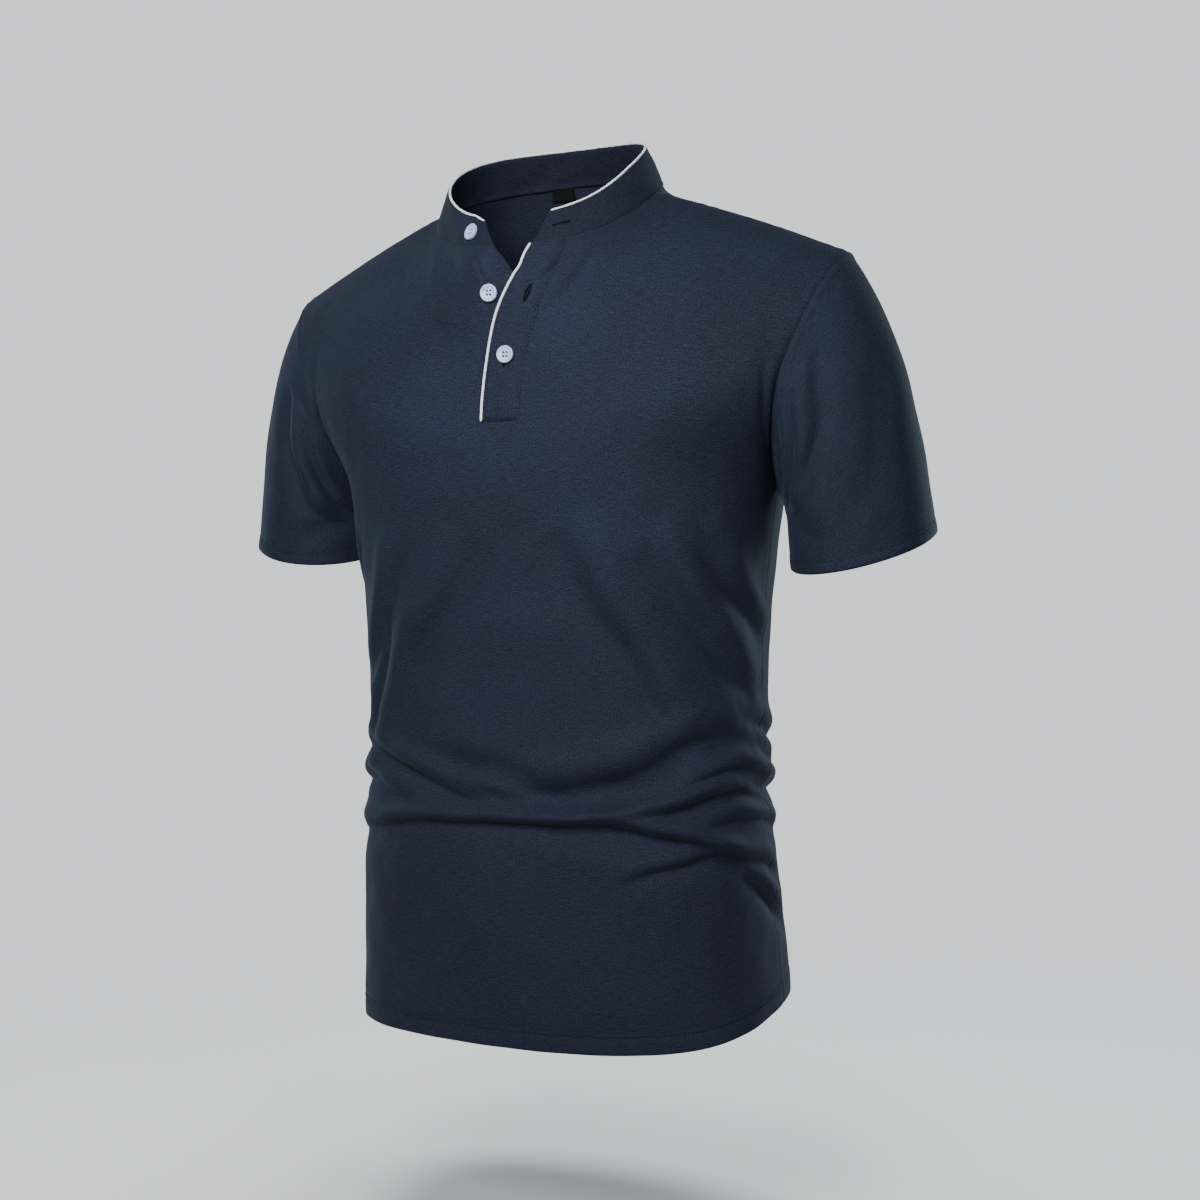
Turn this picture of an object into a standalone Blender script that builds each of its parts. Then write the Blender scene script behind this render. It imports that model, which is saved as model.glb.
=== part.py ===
"""A short-sleeved polo shirt with a standing collar band and a buttoned placket, as a wearer fills it out.

Metres, +Z up. The front faces -Y and the wearer's left is +X. The origin lies midway between the two
points where the shoulder seams meet the neckline. Each cut piece is a closed wall of cloth of its own.

A place on the body of the shirt is given by two numbers. `across` runs from -1 at the wearer's right side
seam or armhole to 1 at the left one. `up` runs from 0 at the hem to 1 at the underarm and to 2 at the top
edge, which is the neckline and the shoulder seams. Every piece that lies on the body is made from such
places, moved out from the surface.
"""

import math
from collections import Counter, defaultdict, namedtuple

import bpy
import numpy as np

# Cloth and seams.
CLOTH = 0.0015
BAND_CLOTH = 0.0024
HEM_EXTRA = 0.0010
SEAM_GAP = 0.0003
SEAM_TRIM = 0.9 * SEAM_GAP
LAYER_LIFT = CLOTH + 2 * SEAM_GAP

# The body: a row for each level section, from the hem up to the underarm.
Section = namedtuple("Section", "height half_width front back side")
SECTIONS = (
    Section(height=-0.655, half_width=0.177, front=-0.098, back=0.134, side=0.014),
    Section(height=-0.590, half_width=0.174, front=-0.102, back=0.126, side=0.010),
    Section(height=-0.530, half_width=0.170, front=-0.106, back=0.116, side=0.004),
    Section(height=-0.460, half_width=0.166, front=-0.107, back=0.106, side=0.000),
    Section(height=-0.390, half_width=0.163, front=-0.107, back=0.102, side=-0.002),
    Section(height=-0.310, half_width=0.166, front=-0.113, back=0.107, side=-0.002),
    Section(height=-0.225, half_width=0.177, front=-0.121, back=0.114, side=-0.004),
)
BOXINESS = 0.030
HEM_HEIGHT = -0.643
UNDERARM = SECTIONS[-1].height
EDGE_CROWDING = 0.18

# The hem rides up on the wearer's left.
HEM_RIDE = 0.030
HEM_RIDE_TURN = 108.0
HEM_RIDE_SPREAD = 48.0

# The chest and the shoulder blades, level with the notches of the armholes.
Level = namedtuple("Level", "centre_y centre_z edge_x edge_y edge_z turn")
CHEST = Level(centre_y=-0.119, centre_z=-0.140, edge_x=0.198, edge_y=-0.066, edge_z=-0.148, turn=70.0)
BLADES = Level(centre_y=0.100, centre_z=-0.125, edge_x=0.196, edge_y=0.050, edge_z=-0.140, turn=70.0)
LEVEL_SHARE = 0.46

# How the cloth above the underarm leaves the level below it and meets the yoke's edges. A slope is in
# metres over its span: sideways towards the centre line, inwards towards the shoulder line, and up.
Slope = namedtuple("Slope", "sideways inwards up")
ARMHOLE_SLOPE = Slope(sideways=0.0, inwards=-0.055, up=0.050)
NECK_SLOPE = Slope(sideways=0.040, inwards=0.035, up=0.085)
SHOULDER_SLOPE = Slope(sideways=0.0, inwards=0.125, up=0.030)
ARMHOLE_START = 0.75
SHOULDER_START = 0.16
SHOULDER_END = 0.62
UNDERARM_STEP = 0.020
UNDERARM_SPAN = 0.090
LEVEL_PULL = 0.55

# The neckline and the top of the collar band are rings. Height follows two cosines of the turn.
Ring = namedtuple("Ring", "half_width half_depth centre_y middle tilt dip")
NECKLINE = Ring(half_width=0.091, half_depth=0.075, centre_y=-0.033, middle=-0.0042, tilt=0.0409, dip=0.0042)
BAND_TOP = Ring(half_width=0.080, half_depth=0.0655, centre_y=-0.0365, middle=0.0207, tilt=0.0416, dip=0.0063)
NECK_SHARE = 0.50
SHOULDER_TIP = (0.232, -0.004, -0.052)
SHOULDER_RISE = 0.0025

# The neckline hangs a little lower on the left of the placket.
NECK_SAG = 0.0040
NECK_SAG_TURN = 50.0
NECK_SAG_SPREAD = 24.0

# The wearer's right end of the neckline stands forward of the left one.
POKE = 0.011
POKE_TURNS = (-42.0, -4.0, 10.0)

# The placket: a slot in the front, an under strip that fills it and an over strip that laps it on both sides.
SLOT_RIGHT = -0.018
SLOT_LEFT = 0.0605
SLOT_FOOT = 1.285
OVER_RIGHT = -0.0435
OVER_LEFT = 0.0705
PLACKET_FOOT = 1.245

# The lowest button closes the placket. Above it each side spreads open from its free edge outwards.
Spread = namedtuple("Spread", "free_edge amount start power reach")
SPREADS = {
    1: Spread(free_edge=OVER_RIGHT, amount=0.120, start=1.30, power=1.6, reach=0.380),
    -1: Spread(free_edge=SLOT_LEFT, amount=0.0755, start=1.68, power=2.1, reach=0.174),
}

# The ends of the collar band are cut back towards its top. Turns are in degrees.
Slant = namedtuple("Slant", "side end_turn fade_turn amount")
SLANTS = (
    Slant(side=1, end_turn=12.0, fade_turn=55.0, amount=9.5),
    Slant(side=-1, end_turn=2.0, fade_turn=45.0, amount=10.0),
)

# Sleeves.
CUFF_CENTRES = {1: (0.2395, 0.010, -0.2715), -1: (0.2340, 0.010, -0.2610)}
CUFF_HALF_WIDTH = 0.0530
CUFF_HALF_DEPTH = 0.0610
CUFF_RISE_OUTWARD = 0.17
CUFF_RISE_BACK = 0.28
SLEEVE_DOWN = (0.45, 0.00, -1.00)
CAP_OUT = (0.60, 0.00, -0.80)
CUFF_DOWN = (0.12, 0.03, -1.00)

# Trims.
PIPING_RADIUS = 0.0010
PIPING_SIDES = 6
LABEL_ACROSS = (-0.110, -0.046)
LABEL_UP = (1.940, 1.996)
LABEL_CLOTH = 0.0010

# Buttons. A row for each ring of the turned shape: radius and height above the back.
Turned = namedtuple("Turned", "radius height")
BUTTON_PROFILE = (
    Turned(radius=0.0058, height=0.0000),
    Turned(radius=0.0064, height=0.0007),
    Turned(radius=0.0064, height=0.0018),
    Turned(radius=0.0056, height=0.0025),
    Turned(radius=0.0048, height=0.0025),
    Turned(radius=0.0040, height=0.0018),
)
BUTTON_SIDES = 16
BUTTON_HOLE_RADIUS = 0.0008
BUTTON_HOLE_OUT = 0.0016
BUTTON_HOLE_SIDES = 8
DRILL_HEIGHTS = (-0.001, 0.004)

# Where the buttons sit. On the band, across is a turn in degrees and up a share of its height.
Button = namedtuple("Button", "name surface across up")
BUTTONS = (
    Button(name="button_1", surface="band", across=-14.0, up=0.45),
    Button(name="button_2", surface="under", across=-0.010, up=1.776),
    Button(name="button_3", surface="over", across=0.011, up=1.512),
)

# Folds of the body. A crease runs from start to end, each a turn and a height. A turn is in degrees from the
# centre front towards the wearer's left. It bows down by bow. Lip is the roll above it as a share of depth.
Fold = namedtuple("Fold", "start end bow width depth lip")
FOLDS = (
    # The cloth blouses over one long crease at the waist.
    Fold(start=(-66, -0.492), end=(98, -0.516), bow=-0.030, width=0.010, depth=0.0065, lip=1.2),
    Fold(start=(-4, -0.441), end=(62, -0.434), bow=0.022, width=0.009, depth=0.0045, lip=0.5),
    Fold(start=(16, -0.443), end=(84, -0.413), bow=-0.018, width=0.010, depth=0.0045, lip=0.8),
    Fold(start=(-26, -0.438), end=(24, -0.444), bow=-0.010, width=0.008, depth=0.0025, lip=0.6),
    Fold(start=(-56, -0.416), end=(-2, -0.462), bow=0.000, width=0.010, depth=0.0040, lip=0.7),
    Fold(start=(-58, -0.439), end=(-26, -0.465), bow=0.000, width=0.007, depth=0.0030, lip=0.5),
    # Drag lines run from the chest down to the waist.
    Fold(start=(-12, -0.275), end=(-42, -0.425), bow=0.004, width=0.018, depth=0.0035, lip=0.5),
    Fold(start=(-24, -0.272), end=(-52, -0.365), bow=0.000, width=0.018, depth=0.0030, lip=0.5),
    Fold(start=(16, -0.272), end=(47, -0.402), bow=0.004, width=0.019, depth=0.0035, lip=0.5),
    Fold(start=(34, -0.280), end=(80, -0.380), bow=0.006, width=0.018, depth=0.0035, lip=0.5),
    # Short creases lie below the waist on the wearer's left.
    Fold(start=(26, -0.515), end=(66, -0.494), bow=-0.003, width=0.009, depth=0.0030, lip=0.5),
    Fold(start=(70, -0.512), end=(99, -0.552), bow=0.000, width=0.009, depth=0.0035, lip=0.6),
    # The sides.
    Fold(start=(-106, -0.470), end=(-48, -0.452), bow=-0.006, width=0.009, depth=0.0045, lip=0.8),
    Fold(start=(-124, -0.502), end=(-62, -0.488), bow=0.008, width=0.010, depth=0.0050, lip=0.9),
    Fold(start=(70, -0.440), end=(128, -0.464), bow=-0.008, width=0.009, depth=0.0045, lip=0.8),
    # The back.
    Fold(start=(112, -0.478), end=(246, -0.474), bow=0.022, width=0.012, depth=0.0065, lip=1.0),
    Fold(start=(130, -0.430), end=(230, -0.438), bow=0.018, width=0.011, depth=0.0050, lip=0.8),
    Fold(start=(150, -0.396), end=(208, -0.388), bow=0.010, width=0.010, depth=0.0030, lip=0.7),
    Fold(start=(118, -0.325), end=(148, -0.415), bow=0.004, width=0.018, depth=0.0035, lip=0.5),
    Fold(start=(242, -0.320), end=(214, -0.408), bow=0.004, width=0.018, depth=0.0035, lip=0.5),
    Fold(start=(104, -0.548), end=(160, -0.524), bow=0.006, width=0.011, depth=0.0030, lip=0.6),
)
GIRTH_PER_TURN = 0.245 / 90
LIP_OFFSET = 1.5
LIP_WIDTH = 1.3

# Folds of the body fade out towards the armholes and the top edge.
ARMHOLE_FADE = (0.88, 1.00)
UNDERARM_FADE = (0.98, 1.03)
TOP_FADE = (1.90, 2.00)

# Folds of the sleeves, each from a turn and a share to another. A turn is in degrees up the front from the
# underarm, and a share runs down the sleeve.
SLEEVE_FOLDS = (
    Fold(start=(112, 0.16), end=(58, 0.66), bow=0.006, width=0.016, depth=0.0035, lip=0.6),
    Fold(start=(250, 0.16), end=(304, 0.62), bow=-0.005, width=0.016, depth=0.0035, lip=0.6),
    Fold(start=(22, 0.42), end=(70, 0.86), bow=0.000, width=0.015, depth=0.0025, lip=0.5),
    Fold(start=(336, 0.38), end=(286, 0.84), bow=0.000, width=0.015, depth=0.0025, lip=0.5),
)
SLEEVE_GIRTH_PER_TURN = 0.36 / 360
SLEEVE_LENGTH = 0.20
CAP_FADE = 0.12

# Columns and rows of the walls.
ACROSS_NECK = 6
ACROSS_SHOULDER = 7
BODY_ROWS = (0.0, 0.040, 0.048, 0.10, 0.15, 0.19)
FOLD_ROWS = 16
FOLDS_TOP = 0.62
CHEST_ROWS = 5
YOKE_ROWS = 9
SLEEVE_RINGS = 10
SLEEVE_HEM = 0.93
HEM_STEP = 0.02
SHARP_ANGLE = 50
BAND_RINGS = 3
PIPING_STEPS = 2

NAVY = (0.022, 0.034, 0.062)
WHITE = (0.80, 0.81, 0.84)
PEARL = (0.60, 0.64, 0.76)
BLACK = (0.012, 0.012, 0.012)

Panel = namedtuple("Panel", "points faces")


def unit(vectors):
    """Each vector at length 1."""
    return vectors / np.maximum(np.linalg.norm(vectors, axis=-1, keepdims=True), 1e-12)


def ease(value, start, end):
    """0 before start and 1 after end, with a smooth rise between them."""
    share = np.clip((np.asarray(value, float) - start) / (end - start), 0, 1)
    return share * share * (3 - 2 * share)


def bell(distance, width):
    """A smooth bump, 1 at no distance."""
    return np.exp(-((distance / width) ** 2))


def wrapped(degrees):
    """Degrees brought into the range from -180 to 180."""
    return (degrees + 180) % 360 - 180


def hermite(share, start, start_slope, end, end_slope):
    """A cubic from start to end with the slopes given at both ends."""
    t = share[..., None]
    return (
        (1 + 2 * t) * (1 - t) ** 2 * start
        + t * (1 - t) ** 2 * start_slope
        + t**2 * (3 - 2 * t) * end
        + t**2 * (t - 1) * end_slope
    )


def section_at(height):
    """Half width, front, back and side of the body at each height, as a smooth curve through SECTIONS."""
    table = np.array(SECTIONS)
    heights, values = table[:, 0], table[:, 1:]
    slopes = np.gradient(values, heights, axis=0)
    height = np.clip(height, heights[0], heights[-1])
    index = np.clip(np.searchsorted(heights, height, side="right") - 1, 0, len(heights) - 2)
    step = (heights[index + 1] - heights[index])[..., None]
    share = (height - heights[index]) / step[..., 0]
    found = hermite(share, values[index], slopes[index] * step, values[index + 1], slopes[index + 1] * step)
    return np.moveaxis(found, -1, 0)


def quarter_turn(across):
    """The angle from the centre line for a place across a panel, in radians."""
    return math.pi / 2 * ((1 - EDGE_CROWDING) * across + EDGE_CROWDING * across**3)


def hem_height(turn):
    """Height of the hem at a turn in degrees."""
    return HEM_HEIGHT + HEM_RIDE * bell(wrapped(turn - HEM_RIDE_TURN), HEM_RIDE_SPREAD)


def turn_of(across, is_back):
    """Turn in degrees from the centre front, towards the wearer's left."""
    angle = np.degrees(quarter_turn(across))
    return 180 - angle if is_back else angle


def body_at(across, height, is_back):
    """Points of the body below the underarm."""
    half_width, front, back, side = section_at(height)
    angle = quarter_turn(across)
    wide = (np.sin(angle) + BOXINESS * np.sin(3 * angle)) / (1 - BOXINESS)
    deep = (np.cos(angle) - BOXINESS * np.cos(3 * angle)) / (1 - BOXINESS)
    far = back if is_back else front
    return np.stack([half_width * wide, side + (far - side) * deep, height], axis=-1)


def ring_at(ring, turn):
    """Points of a neck ring at turns in radians from the front."""
    degrees = wrapped(np.degrees(turn))
    sag = NECK_SAG * bell(degrees - NECK_SAG_TURN, NECK_SAG_SPREAD)
    height = ring.middle - ring.tilt * np.cos(turn) - ring.dip * np.cos(2 * turn) - sag
    start, full, end = POKE_TURNS
    poke = POKE * ease(degrees, start, full) * (1 - ease(degrees, full, end))
    depth = ring.centre_y - ring.half_depth * np.cos(turn) - poke
    return np.stack([ring.half_width * np.sin(turn), depth, height], axis=-1)


def neck_turn(across, is_back):
    """Turn round the neckline, in radians, for a place across a panel."""
    angle = math.pi / 2 * np.asarray(across) / NECK_SHARE
    return np.where(angle < 0, -math.pi, math.pi) - angle if is_back else angle


def top_edge(across, is_back):
    """Points of the neckline and, outside it, of the shoulder seams."""
    inner = np.clip(across, -NECK_SHARE, NECK_SHARE)
    neck = ring_at(NECKLINE, neck_turn(inner, is_back))
    point = ring_at(NECKLINE, np.full_like(across, math.pi / 2))
    out = np.clip((np.abs(across) - NECK_SHARE) / (1 - NECK_SHARE), 0, 1)[..., None]
    seam = point + (np.array(SHOULDER_TIP) - point) * out
    seam[..., 0] *= np.sign(across)
    seam[..., 2] += SHOULDER_RISE * np.sin(math.pi * out[..., 0])
    return np.where(np.abs(across)[..., None] > NECK_SHARE, seam, neck)


def level_at(level, across):
    """Points across the chest or the shoulder blades, from armhole to armhole."""
    turn = math.radians(level.turn)
    bend = (1 - np.cos(across * turn)) / (1 - math.cos(turn))
    return np.stack(
        [
            level.edge_x * np.sin(across * turn) / math.sin(turn),
            level.centre_y + (level.edge_y - level.centre_y) * bend,
            level.centre_z + (level.edge_z - level.centre_z) * bend,
        ],
        axis=-1,
    )


def slope_at(slope, across, is_back):
    """A slope over a grid. Its sideways part follows the side of the neck."""
    sideways = -slope.sideways * np.sin(math.pi / 2 * np.clip(across / NECK_SHARE, -1, 1))
    inwards = np.full_like(across, -slope.inwards if is_back else slope.inwards)
    return np.stack([sideways, inwards, np.full_like(across, slope.up)], axis=-1)


def yoke_at(across, share, is_back):
    """Points above the underarm, where share runs from 0 at the underarm to 1 at the top edge."""
    low = body_at(across, np.full_like(across, UNDERARM), is_back)
    below = body_at(across, np.full_like(across, UNDERARM - UNDERARM_STEP), is_back)
    middle = level_at(BLADES if is_back else CHEST, across)
    top = top_edge(across, is_back)
    armhole = ease(np.abs(across), ARMHOLE_START, 1.0)[..., None]
    straight_on = (low - below) * UNDERARM_SPAN / UNDERARM_STEP
    low_slope = straight_on * (1 - armhole) + slope_at(ARMHOLE_SLOPE, across, is_back) * armhole
    shoulder = ease(np.abs(across), SHOULDER_START, SHOULDER_END)[..., None]
    neck_slope = slope_at(NECK_SLOPE, across, is_back)
    top_slope = neck_slope * (1 - shoulder) + slope_at(SHOULDER_SLOPE, across, is_back) * shoulder
    middle_slope = (top - low) * LEVEL_PULL
    below_slope = middle_slope * LEVEL_SHARE / (1 - LEVEL_SHARE)
    lower = hermite(np.clip(share / LEVEL_SHARE, 0, 1), low, low_slope, middle, below_slope)
    share_above = np.clip((share - LEVEL_SHARE) / (1 - LEVEL_SHARE), 0, 1)
    upper = hermite(share_above, middle, middle_slope, top, top_slope)
    return np.where((share < LEVEL_SHARE)[..., None], lower, upper)


def smooth_body(across, up, is_back):
    """Points of the body without its folds."""
    across, up = np.broadcast_arrays(np.asarray(across, float), np.asarray(up, float))
    hem = hem_height(turn_of(across, is_back))
    height = hem + (UNDERARM - hem) * np.clip(up, 0, 1)
    low = body_at(across, height, is_back)
    high = yoke_at(across, np.clip(up - 1, 0, 1), is_back)
    return np.where((up < 1)[..., None], low, high)


def crease(fold, start, end, x, z):
    """How far one fold moves the cloth outwards. The fold runs from start to end on cloth laid flat."""
    along = end - start
    length = np.linalg.norm(along)
    along = along / length
    above = np.array([-along[1], along[0]]) * (1 if along[0] >= 0 else -1)
    x, z = x - start[0], z - start[1]
    inside = np.clip((x * along[0] + z * along[1]) / length, 0, 1)
    off = x * above[0] + z * above[1] + 4 * fold.bow * inside * (1 - inside)
    trough = -bell(off, fold.width)
    roll = fold.lip * bell(off - LIP_OFFSET * fold.width, LIP_WIDTH * fold.width)
    return fold.depth * np.sqrt(np.sin(math.pi * inside)) * (trough + roll)


def body_folds(turn, height):
    """How far the folds move the cloth of the body outwards at turns in degrees and heights."""
    total = 0
    flat = np.array([GIRTH_PER_TURN, 1])
    for fold in FOLDS:
        for whole_turn in (-360, 0, 360):
            x = (turn + whole_turn) * GIRTH_PER_TURN
            total = total + crease(fold, fold.start * flat, fold.end * flat, x, height)
    return total


def body(across, up, is_back):
    """Points of the outer face of the body, folds and all."""
    points = smooth_body(across, up, is_back)
    small = 1e-4
    along = smooth_body(across + small, up, is_back) - smooth_body(across - small, up, is_back)
    rise = smooth_body(across, up + small, is_back) - smooth_body(across, up - small, is_back)
    normal = unit(np.cross(along, rise)) * (-1 if is_back else 1)
    turn = turn_of(across, is_back) + 0 * points[..., 0]
    moved = body_folds(turn, points[..., 2])
    armhole = ease(np.abs(across), *ARMHOLE_FADE) * ease(up, *UNDERARM_FADE)
    held = np.clip(armhole + ease(up, *TOP_FADE), 0, 1)
    return points + normal * (moved * (1 - held))[..., None]


def opened(across, up, side):
    """The place across the front once the placket is spread open. side is 1 for the wearer's left."""
    spread = SPREADS[side]
    share = np.clip((np.asarray(up, float) - spread.start) / (2 - spread.start), 0, 1) ** spread.power
    hold = 1 - ease(side * np.asarray(across, float), side * spread.free_edge, spread.reach)
    return across + side * spread.amount * share * hold


def neck_places(start):
    """Places along one half of the neckline, from start to the shoulder seam."""
    return np.linspace(start, NECK_SHARE, ACROSS_NECK + 1)


def shoulder_places():
    """Places along a shoulder seam, past its inner end."""
    return np.linspace(NECK_SHARE, 1, ACROSS_SHOULDER + 1)[1:]


def slot_places():
    """Places across the slot of the placket, its edges among them."""
    return np.linspace(SLOT_RIGHT, SLOT_LEFT, 4)


def front_places():
    """Places across the front, with a column at each edge of the slot."""
    right = -np.concatenate([neck_places(-SLOT_RIGHT), shoulder_places()])
    left = np.concatenate([neck_places(SLOT_LEFT), shoulder_places()])
    return np.concatenate([right[::-1], slot_places()[1:-1], left])


def back_places():
    """Places across the back. Its columns meet the front's at the shoulder seams."""
    half = np.concatenate([neck_places(0), shoulder_places()])
    return np.concatenate([-half[:0:-1], half])


def body_rows():
    """Places up the body below the underarm, close together at the turned hem and where it folds."""
    folded = np.linspace(BODY_ROWS[-1], FOLDS_TOP, FOLD_ROWS + 1)[1:]
    chest = np.linspace(FOLDS_TOP, 1, CHEST_ROWS + 1)[1:]
    return np.concatenate([BODY_ROWS, folded, chest])


def yoke_rows():
    """Places up the yoke, with rows at the feet of the placket and of its slot."""
    below = np.linspace(1, PLACKET_FOOT, 4)[1:]
    above = np.linspace(SLOT_FOOT, 2, YOKE_ROWS + 1)
    return np.concatenate([below, above])


def grid_faces(rows, columns, is_closed=False):
    """Quads of a grid, row by row. A closed grid joins its last column to its first."""
    quads = []
    for row in range(rows - 1):
        for column in range(columns if is_closed else columns - 1):
            after = (column + 1) % columns
            low, high = row * columns, (row + 1) * columns
            quads.append((low + column, low + after, high + after, high + column))
    return quads


def compact(points, faces):
    """The panel without the points that no face uses."""
    used = sorted({index for face in faces for index in face})
    place = {index: order for order, index in enumerate(used)}
    return Panel(points[used], [tuple(place[index] for index in face) for face in faces])


def front_panel():
    """The front, with its slot for the placket."""
    places = front_places()
    rows = np.concatenate([body_rows(), yoke_rows()])
    across, up = np.meshgrid(places, rows)
    moved = np.where(across <= SLOT_RIGHT, opened(across, up, -1), opened(across, up, 1))
    points = body(moved, up, False).reshape(-1, 3)
    width = len(places)
    faces = []
    for face in grid_faces(len(rows), width):
        middle_across = np.mean([places[index % width] for index in face])
        middle_up = np.mean([rows[index // width] for index in face])
        if not SLOT_RIGHT < middle_across < SLOT_LEFT or middle_up < SLOT_FOOT:
            faces.append(face)
    return compact(points, faces)


def back_panel():
    """The back, from side seam to side seam."""
    places = back_places()[::-1]
    rows = np.concatenate([body_rows(), yoke_rows()])
    across, up = np.meshgrid(places, rows)
    return Panel(body(across, up, True).reshape(-1, 3), grid_faces(len(rows), len(places)))


def armhole_loop(side):
    """Points round an armhole: up its front edge from the underarm, then down its back edge."""
    rows = np.concatenate([[1.0], yoke_rows()])
    front = body(np.full_like(rows, side), rows, False)
    back = body(np.full_like(rows, side), rows, True)
    return np.concatenate([front, back[-2:0:-1]])


def loop_angles(loop):
    """The angle round the sleeve of each point of an armhole loop: 0 at the underarm and pi at the tip."""
    half = len(loop) // 2
    steps = np.linalg.norm(np.diff(loop, axis=0, append=loop[:1]), axis=1)
    walked = np.concatenate([[0], np.cumsum(steps)])
    up_front = walked[: half + 1] / walked[half]
    down_back = 1 + (walked[half:-1] - walked[half]) / (walked[-1] - walked[half])
    return math.pi * np.concatenate([up_front, down_back[1:]])


def sleeve_at(side, share):
    """One ring of a sleeve, where share runs from 0 at the armhole to 1 at the hem."""
    loop = armhole_loop(side)
    angle = loop_angles(loop)
    mirror = np.array([side, 1, 1])
    out_x = -CUFF_HALF_WIDTH * np.cos(angle)
    out_y = -CUFF_HALF_DEPTH * np.sin(angle)
    rise = CUFF_RISE_OUTWARD * out_x + CUFF_RISE_BACK * out_y
    cuff = (np.array(CUFF_CENTRES[side]) + np.stack([out_x, out_y, rise], axis=-1)) * mirror
    top = ((1 - np.cos(angle)) / 2)[:, None]
    leave = unit(np.array(SLEEVE_DOWN) * (1 - top) + np.array(CAP_OUT) * top) * mirror
    arrive = unit(np.array(CUFF_DOWN)) * mirror
    reach = np.linalg.norm(cuff - loop, axis=1, keepdims=True)
    return hermite(np.full(len(loop), share), loop, leave * reach, cuff, arrive * reach)


def sleeve_grid(side, shares):
    """Rings of a sleeve with its folds."""
    rings = np.array([sleeve_at(side, share) for share in shares])
    down = np.gradient(rings, axis=0)
    round_it = np.roll(rings, -1, axis=1) - np.roll(rings, 1, axis=1)
    normals = unit(np.cross(down, round_it)) * side
    turn, share = np.meshgrid(np.degrees(loop_angles(rings[0])), shares)
    flat = np.array([SLEEVE_GIRTH_PER_TURN, -SLEEVE_LENGTH])
    x, z = turn * SLEEVE_GIRTH_PER_TURN, -share * SLEEVE_LENGTH
    moved = 0
    for fold in SLEEVE_FOLDS:
        moved = moved + crease(fold, fold.start * flat, fold.end * flat, x, z)
    return rings + normals * (moved * ease(share, 0, CAP_FADE))[..., None]


def sleeve_panel(side):
    """A set-in sleeve, from its armhole to its hem."""
    shares = np.concatenate([np.linspace(0, SLEEVE_HEM, SLEEVE_RINGS), [SLEEVE_HEM + HEM_STEP, 1.0]])
    rings = sleeve_grid(side, shares)
    faces = grid_faces(len(rings), len(rings[0]), is_closed=True)
    if side > 0:
        faces = [face[::-1] for face in faces]
    return Panel(rings.reshape(-1, 3), faces)


def over_places():
    """Places across the over strip."""
    return np.concatenate([[OVER_RIGHT], slot_places(), [OVER_LEFT]])


def band_turns(steps=1):
    """Turns round the neck of the band's columns, from its right end round the back to its left end."""
    right_places = np.concatenate([slot_places()[::-1], -neck_places(-SLOT_RIGHT)[1:]])
    left_places = np.concatenate([over_places()[:-1], neck_places(SLOT_LEFT)[1:]])
    right = neck_turn(opened(right_places, 2.0, -1), False)
    left = neck_turn(opened(left_places, 2.0, 1), False)
    back = np.linspace(-math.pi / 2, -3 * math.pi / 2, 2 * ACROSS_NECK + 1)[1:-1]
    turns = np.concatenate([right, back, left[::-1] - 2 * math.pi])
    count = (len(turns) - 1) * steps + 1
    return np.interp(np.linspace(0, len(turns) - 1, count), np.arange(len(turns)), turns)


def band_at(turn, share):
    """Points of the band's outer face, where share runs from 0 at the neckline to 1 at its top."""
    degrees = wrapped(np.degrees(turn))
    back_cut = 0
    for slant in SLANTS:
        near_end = 1 - ease(slant.side * degrees, slant.end_turn, slant.fade_turn)
        back_cut = back_cut + slant.side * slant.amount * near_end * (slant.side * degrees > 0)
    low = ring_at(NECKLINE, turn + np.radians(back_cut * share))
    high = ring_at(BAND_TOP, turn + np.radians(back_cut * share))
    return low + (high - low) * np.asarray(share)[..., None]


def band_panel():
    """The standing collar band."""
    turns = band_turns()
    turn, share = np.meshgrid(turns, np.linspace(0, 1, BAND_RINGS + 1))
    faces = [face[::-1] for face in grid_faces(BAND_RINGS + 1, len(turns))]
    return Panel(band_at(turn, share).reshape(-1, 3), faces)


def band_outward(turn, share):
    """The band's outward direction."""
    small = 1e-3
    along = band_at(turn + small, share) - band_at(turn - small, share)
    rise = band_at(turn, share + small) - band_at(turn, share - small)
    return unit(np.cross(along, rise))


def strip_outward(across, up, side):
    """The outward direction of the front where a placket strip lies on it."""
    small = 1e-3
    moved = opened(across, up, side)
    along = body(moved + small, up, False) - body(moved - small, up, False)
    rise = body(moved, up, False) - body(moved, up - small, False)
    return unit(np.cross(along, rise))


def strip_points(across, up, side, lift):
    """Points of a placket strip, made from the front's places and moved out by lift."""
    across, up = np.broadcast_arrays(np.asarray(across, float), np.asarray(up, float))
    return body(opened(across, up, side), up, False) + strip_outward(across, up, side) * lift


def strip_panel(places, rows, side, lift):
    """A placket strip. side is 1 for the upper strip, on the wearer's left."""
    across, up = np.meshgrid(places, rows)
    return Panel(strip_points(across, up, side, lift).reshape(-1, 3), grid_faces(len(rows), len(places)))


def rows_from(foot):
    """Places up the yoke from the foot of a strip."""
    rows = yoke_rows()
    return rows[rows > foot - 1e-6]


def key(point):
    """A name for a place, the same for points that coincide."""
    return tuple(np.round(point * 1e5).astype(int))


def own_normals(panel):
    """The outward direction at each point of a panel."""
    total = np.zeros_like(panel.points)
    for face in panel.faces:
        a, b, c, d = (panel.points[index] for index in face)
        for index in face:
            total[index] += np.cross(c - a, d - b)
    return unit(total)


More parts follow.
